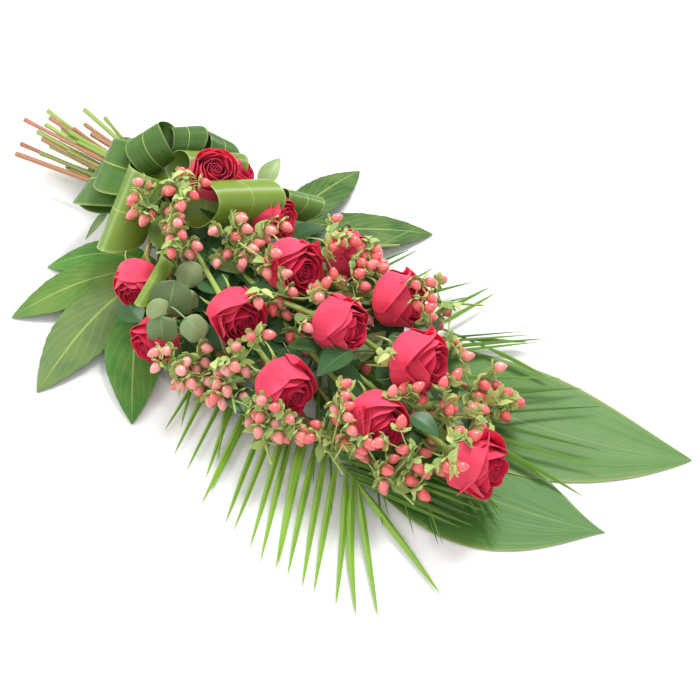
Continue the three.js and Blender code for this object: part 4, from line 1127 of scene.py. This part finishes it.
    def small_leaves(self, root, axis, length):
        """A pair of opposite small oval leaves, where there is room for them."""
        random = self.random
        turn = random.rand() * math.pi
        for side in (0, math.pi):
            out = unit(around(axis, turn + side) + axis * (0.2 + 0.5 * random.rand()))
            tip = root + out * length
            free = TAKEN.room(root + out * length * 0.7) > 0.5
            if free and tip[2] > 4 and tip[1] < LEAF_EDGE:
                tone, roll = random.rand(), 0.5 * random.randn()
                self.leaves.append(
                    blade(root, out, length, length * 0.54, 0.12, 5, 2, tone, 0, roll)
                )


# Large leaves


def lobe(centre, heading, length, width, height, tone, seed, layer, lean):
    """One lobe of a fatsia leaf: an oval with a toothed edge, its tip down on the table."""
    random = np.random.RandomState(seed)
    phase = random.rand() * 6
    ahead, across = direction(heading, 0), direction(heading + 90, 0)

    def place(s, t):
        # The outline: an oval on a short neck, with fifteen teeth a side.
        swell = np.sin(math.pi * np.clip(s, 0, 1) ** 1.12) ** 0.9 + 0.16 * (1 - s) ** 3
        teeth = 1 + 0.06 * ((s * 15) % 1.0) * (s < 0.96)
        half = width / 2 * swell * teeth * np.abs(t)
        bow = np.sin(math.pi * s)
        far = s * length
        spread = np.hypot(far, half * t) / length
        # The surface: down to the table, waved at its edge and puckered between its ribs.
        lift = height - (height - 0.8) * np.clip(spread, 0, 1) ** 2.2
        wave = 1.6 * np.sin(s * 13 + phase + 2 * t) * np.abs(t) ** 2 * (1 - s)
        wave = wave + 2.5 * (1 - t**2) * bow
        fold = 4.5 * bow * (1 - np.abs(t)) * 0.4
        side = np.sign(t) * half + 4.0 * np.sin(s * 2.4 + phase) * s + lean * bow
        pucker = 0.9 * np.sin(2 * math.pi * 8 * (s - 0.42 * np.abs(t))) * np.abs(t) * (1 - s)
        lift = lift + wave * 0.5 + fold * 0.3 + pucker + 0.5 * layer
        rise = np.maximum(lift, 0.5 + 0.4 * layer)
        spot = centre * [1, 1, 0] + np.outer(far, ahead) + np.outer(side, across)
        return spot + np.outer(rise, UP)

    return shaped(14, 40, place, tone)


class SHEAF_OT_fatsia(bpy.types.Operator):
    """Model the two lobed fatsia leaves with their toothed edges and stalks"""

    bl_idname = "sheaf.fatsia"
    bl_label = "Fatsia leaves"

    def execute(self, context):
        sizes, colours = context.scene.sheaf_sizes, context.scene.sheaf_colours
        # Fatsia leaf: leathery and waxed, puckered between strong pale ribs.
        flesh = leaf_flesh(
            "fatsia_flesh",
            [(0.0, "#345C1F"), (0.3, "#4C8C34"), (0.6, colours.fatsia), (1.0, "#657C4E")],
            "#B5C76A", (8, 0.42), 0.48, 0.14, "#768F42", mottle=0.42, vein_mix=0.62,
        )
        for name, (broadest, lean, lobes) in FATSIA.items():
            centre = np.array(LEAF_STARTS[name], float)
            blades = []
            for k, (turn, length, tone) in enumerate(lobes):
                beside = [lobes[n][0] for n in (k - 1, k + 1) if 0 <= n < len(lobes)]
                gap = min(abs((other - turn + 540) % 360 - 180) for other in beside)
                lap = 1.5 if k == 0 else 1.26
                chord = lap * length * math.sin(math.radians(gap) / 2)
                width = min(chord, length * broadest)
                blades.append(
                    lobe(centre, turn, length, width, centre[2], tone, 500 + k, k % 2, lean)
                )
            stalk = tube(stem_line(name, centre), sizes.leaf_stem / MM, 8, 0.5)
            finished(
                name + "_leaf", "fatsia", [name], flesh, rods=[stalk], blades=blades,
                thickness=sizes.leaf,
            )
        return {"FINISHED"}


def leaflet(root, tip, width, bend, tone):
    """A slim palm leaflet, folded along its middle, that narrows to a fine tip."""
    run = (tip - root) * [1, 1, 0]
    across = unit(np.cross(UP, run))
    low = max(5.0, tip[2] + 2)
    knee = 0.4  # the leaflet drops steeply up to here

    def place(s, t):
        half = width * 0.37 * np.clip(0.3 + 3 * s, 0, 1) * (1 - s**2.4) ** 0.8
        steep = mixed(root[2], low, s / knee)
        lift = np.where(s < knee, steep, mixed(low, tip[2], (s - knee) / 0.6))
        side = bend * np.sin(math.pi * s)
        spot = root * [1, 1, 0] + np.outer(s, run) + np.outer(side + t * half, across)
        return spot + np.outer(np.maximum(lift + half * (0.9 - 0.8 * np.abs(t)), 0.8), UP)

    return shaped(2, 14, place, tone)


class SHEAF_OT_palms(bpy.types.Operator):
    """Model the palm fronds, leaflet by leaflet"""

    bl_idname = "sheaf.palms"
    bl_label = "Palm fronds"

    def execute(self, context):
        sizes, colours = context.scene.sheaf_sizes, context.scene.sheaf_colours
        # Palm leaflet: stiff, smooth and a little shiny, with fine lines along it.
        flesh = grass_like(
            "palm_leaflet_flesh", [(0.0, "#2E5E22"), (0.5, colours.palm), (1.0, "#8CB83E")],
            "#A9C860", 14, 0.42, 0.15,
        )
        for name, (heading, length, floor, leaflets) in PALMS.items():
            random = np.random.RandomState(len(name))
            start = np.array(LEAF_STARTS[name], float)
            way = direction(heading, 0)

            def rib(s):
                height = mixed(start[2], floor, min(1.0, s * 1.5))
                return start * [1, 1, 0] + way * s * length + UP * height

            blades = []
            for share, *tip, width in leaflets:
                tone = 0.4 * random.rand()
                if name == "palm_near" and tip[2] < 8:  # these lie in the light
                    tone += 0.55
                bend = 0.9 * random.randn()
                blades.append(leaflet(rib(share), np.array(tip, float), width, bend, tone))
            line = [rib(s) for s in np.linspace(0, 1, 12)]
            midrib = tube(line, np.linspace(2.2, 1.0, 12), 6, 0.8)
            stalk = tube(stem_line(name, start), sizes.leaf_stem / MM, 8, 0.8)
            finished(
                name + "_frond", "palm", [name], flesh, rods=[stalk, midrib], blades=blades,
                thickness=sizes.leaf,
            )
        return {"FINISHED"}


class SHEAF_OT_aspidistra(bpy.types.Operator):
    """Model the two long flat aspidistra leaves"""

    bl_idname = "sheaf.aspidistra"
    bl_label = "Flat aspidistra leaves"

    def execute(self, context):
        sizes, colours = context.scene.sheaf_sizes, context.scene.sheaf_colours
        # Aspidistra leaf: leathery, with close parallel veins that break its shine in streaks.
        flesh = grass_like(
            "aspidistra_flesh", [(0.0, "#41752B"), (1.0, colours.aspidistra)],
            "#8DB566", 90, 0.5, 0.06, midrib=0.25, edge="#A8B45A",
        )
        steps = 60
        for name, (length, width, first, second, fullness, point, tone) in LONG_LEAVES.items():
            start = np.array(LEAF_STARTS[name], float)
            line = [start * [1, 1, 0]]
            for k in range(steps):
                way = direction(mixed(first, second, (k + 0.5) / steps), 0)
                line.append(line[k] + way * length / steps)
            line = np.array(line)

            def place(s, t):
                k = np.minimum(steps - 1, np.floor(s * steps)).astype(int)
                share = (s * steps - k)[:, None]
                spot = line[k] * (1 - share) + line[k + 1] * share
                turn = np.radians(mixed(first, second, s))
                across = np.stack([-np.sin(turn), np.cos(turn), 0 * turn], 1)
                # The outline, then a blade that sinks to the table and cups at its root.
                oval = np.maximum(np.sin(math.pi * (0.04 + 0.96 * s) ** fullness), 0) ** point
                half = width / 2 * oval * (1 - 0.3 * s**10)
                low = np.minimum(1, s * 2.2)
                lift = mixed(start[2], 0.6, np.sin(low * math.pi / 2))
                cup = 4 * np.maximum(0, np.abs(t) - 0.5) * (1 - s)
                bow = np.sin(math.pi * np.clip(s, 0, 1))
                wave = 1.2 * (np.sin(s * 9 + 2 * t) + 1) * np.abs(t) ** 3 * bow
                swell = 1.75 * bow * (1 - t**2) * (0.5 + 0.5 * np.sin(t * 5))
                return spot + across * (t * half)[:, None] + np.outer(lift + cup + wave + swell, UP)

            stalk = tube(stem_line(name, start), sizes.leaf_stem / MM, 8, 0.5)
            finished(
                name + "_leaf", "aspidistra", [name], flesh, rods=[stalk],
                blades=[shaped(28, steps, place, tone)], thickness=sizes.leaf,
            )
        return {"FINISHED"}


class SHEAF_OT_eucalyptus(bpy.types.Operator):
    """Model the eucalyptus twig with its round leaves"""

    bl_idname = "sheaf.eucalyptus"
    bl_label = "Eucalyptus"

    def execute(self, context):
        sizes, colours = context.scene.sheaf_sizes, context.scene.sheaf_colours
        # Eucalyptus leaf: a bloom of fine wax makes it dull and grey-green.
        flesh = leaf_flesh(
            "eucalyptus_flesh", [(0.0, "#657F50"), (0.6, colours.eucalyptus), (1.0, "#AABD86")],
            "#B9C39A", (6, 0.5), 0.6, 0.03, "#8FA38A", mottle=0.2,
        )
        axis = direction(*EUCALYPTUS_WAY)
        end = np.array(LEAF_STARTS["eucalyptus"], float)
        random = np.random.RandomState(9)
        twig = [end - axis, end + axis * 25, end + axis * 48, end + axis * 70]
        rods = [
            tube(stem_line("eucalyptus", end), sizes.leaf_stem / MM, 8, 0.7),
            tube(twig, [1.8, 1.6, 1.3, 0.9], 6, 0.8),
        ]
        leaves = []
        for *centre, size in EUCALYPTUS:
            centre = np.array(centre, float)
            near = end + axis * min(68.0, max(4.0, (centre - end) @ axis - 4))
            facing = unit(unit(EYE - centre) + 0.35 * random.randn(3))
            out = unit(np.cross(facing, np.cross(centre - near, facing)))
            foot = centre - out * size * 0.5
            bow = mixed(near, foot, 0.5) + [0, 0, 1.5]
            rods.append(tube([near, bow, foot + out], [0.9, 0.8, 0.7], 5, 0.9))
            flat = np.cross(facing, out)

            def place(s, t, foot=foot, out=out, flat=flat, over=facing, size=size):
                oval = np.sqrt(np.maximum(1 - (2 * s - 1) ** 2, 0))
                half = size * 0.53 * oval * (1 + 0.05 * np.sin(9 * s))
                lift = 2.4 * np.sin(math.pi * s) - 2 * t**2 + 1.0 * np.sin(5 * s + 3 * t)
                spot = foot + np.outer(s * size, out)
                return spot + np.outer(t * half, flat) + np.outer(lift, over)

            leaves.append(shaped(10, 14, place, random.rand()))
            TAKEN.add(centre, size * 0.45)
        finished(
            "eucalyptus_twig", "eucalyptus", ["eucalyptus"], flesh, rods=rods, blades=leaves,
            thickness=0.0006,
        )
        return {"FINISHED"}


# The tie


class SHEAF_OT_rolls(bpy.types.Operator):
    """Model the rolled aspidistra leaves that hide the twine"""

    bl_idname = "sheaf.rolls"
    bl_label = "Rolled leaves"

    def execute(self, context):
        sizes, colours = context.scene.sheaf_sizes, context.scene.sheaf_colours
        # Rolled aspidistra leaf: its shine and its pale midrib run round the turn.
        flesh = grass_like(
            "rolled_leaf_flesh",
            [(0.0, colours.roll_dark), (0.5, "#57792B"), (1.0, colours.roll_light)],
            "#7D9F4C", 60, 0.38, 0.25, midrib=0.85, edge="#B7C77A",
        )
        for k, (name, spec) in enumerate(ROLLS.items()):
            finished(
                name + "_leaf", "rolled_leaf", [name], flesh, blades=[self.roll(*spec, k)],
                thickness=sizes.leaf, angle=70,
            )
        return {"FINISHED"}

    def roll(self, root, near, far, radius, tone, lean, seed):
        """A leaf that leaves its root, turns over and comes back to it."""
        root, near, far = (np.array(p, float) for p in (root, near, far))
        width = np.linalg.norm(far - near)
        wide = unit(far - near)
        out = mixed(near, far, 0.5) - root
        shift = out @ wide
        out = out - wide * shift
        reach = np.linalg.norm(out)
        out = unit(out)
        over = np.cross(out, wide)
        far_out = reach + radius
        slant = lean * np.sign(over @ (EYE - root))
        waist = 0.2 if tone < 0.3 else 0.0  # the dark leaves are drawn in at their turn

        def place(s, t):
            # Out along the leaf and back again below, narrow at both ends.
            turn = s * 2 * math.pi
            along = mixed(0.14, 1.0, (1 - np.cos(turn)) / 2) * far_out
            high = -1.35 * radius * np.sin(turn) * (0.5 + 0.5 * along / far_out) ** 0.5
            taper = 0.35 + 0.65 * np.sin(math.pi * mixed(0.12, 0.88, s)) ** 0.6
            taper = taper - waist * np.exp(-(((s - 0.5) / 0.11) ** 2))
            aside = t * width / 2 * taper + shift * along / reach
            aside = aside + 1.2 * np.sin(s * 9 + seed) * t**2 + slant * high
            high = high * (1 - 0.08 * np.sin(s * 7 + seed) * t**2)
            return root + np.outer(along, out) + np.outer(high, over) + np.outer(aside, wide)

        return shaped(16, 48, place, tone)


class SHEAF_OT_binding(bpy.types.Operator):
    """Model the turns of twine round the stems"""

    bl_idname = "sheaf.binding"
    bl_label = "Twine binding"

    def execute(self, context):
        turns, steps, width = 6, 40, 10.8
        points = []
        for k in range(turns * steps + 1):
            angle = 2 * math.pi * k / steps
            radius = 23.6 + 0.3 * math.sin(angle * 3.3)
            along = mixed(-width / 2, width / 2, k / (turns * steps))
            points.append((along, radius * math.cos(angle), TIE_HEIGHT + radius * math.sin(angle)))
        fibre = twine_fibre(context.scene.sheaf_colours)
        cord = tube(points, 1.15, 8, 0.5)
        finished("twine_turns", "twine", ["twine_binding"], fibre, rods=[cord])
        return {"FINISHED"}


class SHEAF_OT_stage(bpy.types.Operator):
    """Lay the pale floor and set the lights and the camera"""

    bl_idname = "sheaf.stage"
    bl_label = "Floor, lights and camera"

    def execute(self, context):
        scene = context.scene

        def stood(name, data, place, aim):
            made = bpy.data.objects.new(name, data)
            made.location = place
            made.rotation_euler = Vector(aim - place).to_track_quat("-Z", "Y").to_euler()
            scene.collection.objects.link(made)
            return made

        bpy.ops.mesh.primitive_plane_add(size=12, location=(0, 0, 0))
        floor = context.object
        floor.name = "floor"
        # Studio paper: matt and even, so that shadows stay soft.
        paper = bpy.data.materials.new("floor_paper")
        paper.use_nodes = True
        skin = paper.node_tree.nodes["Principled BSDF"]
        skin.inputs["Roughness"].default_value = 0.8
        skin.inputs["Base Color"].default_value = shade(scene.sheaf_colours.floor)
        floor.data.materials.append(paper)
        scene.world = bpy.data.worlds.new("studio")
        scene.world.use_nodes = True
        background = scene.world.node_tree.nodes["Background"]
        background.inputs["Color"].default_value = shade("#FFFFFF")
        background.inputs["Strength"].default_value = 0.68
        for name, place, size, power in (
            ("key_light", (-0.1, 1.0, 1.6), 0.7, 30), ("fill_light", (1.2, -1.3, 1.6), 1.6, 10),
            ("side_light", (-1.1, -0.5, 0.8), 0.6, 9),
        ):
            lamp = bpy.data.lights.new(name, "AREA")
            lamp.size = size
            lamp.energy = power
            stood(name, lamp, np.array(place), np.zeros(3))
        lens = bpy.data.cameras.new("camera")
        lens.sensor_width = SENSOR
        lens.lens = LENS
        scene.camera = stood("camera", lens, (EYE + OFFSET) * MM, (AIM + OFFSET) * MM)
        scene.view_settings.view_transform = "Standard"
        return {"FINISHED"}


OPERATORS = (
    SHEAF_OT_stage, SHEAF_OT_blooms, SHEAF_OT_rolls, SHEAF_OT_binding, SHEAF_OT_hypericum,
    SHEAF_OT_eucalyptus, SHEAF_OT_rose_greens, SHEAF_OT_fatsia, SHEAF_OT_palms,
    SHEAF_OT_aspidistra,
)


class SHEAF_PT_panel(bpy.types.Panel):
    """The sheaf's sizes, colours and steps"""

    bl_idname = "SHEAF_PT_panel"
    bl_label = "Sheaf"
    bl_space_type = "VIEW_3D"
    bl_region_type = "UI"
    bl_category = "Sheaf"

    def draw(self, context):
        for group in (context.scene.sheaf_sizes, context.scene.sheaf_colours):
            box = self.layout.box()
            for name in group.__annotations__:
                box.prop(group, name)
        for operator in OPERATORS:
            self.layout.operator(operator.bl_idname)


CLASSES = (SheafSizes, SheafColours, *OPERATORS, SHEAF_PT_panel)


def register():
    for made in CLASSES:
        bpy.utils.register_class(made)
    bpy.types.Scene.sheaf_sizes = bpy.props.PointerProperty(type=SheafSizes)
    bpy.types.Scene.sheaf_colours = bpy.props.PointerProperty(type=SheafColours)


def unregister():
    del bpy.types.Scene.sheaf_sizes
    del bpy.types.Scene.sheaf_colours
    for made in reversed(CLASSES):
        bpy.utils.unregister_class(made)


def main():
    register()
    bpy.ops.object.select_all(action="DESELECT")
    for operator in OPERATORS:
        getattr(bpy.ops.sheaf, operator.bl_idname.removeprefix("sheaf."))()


if __name__ == "__main__":
    main()
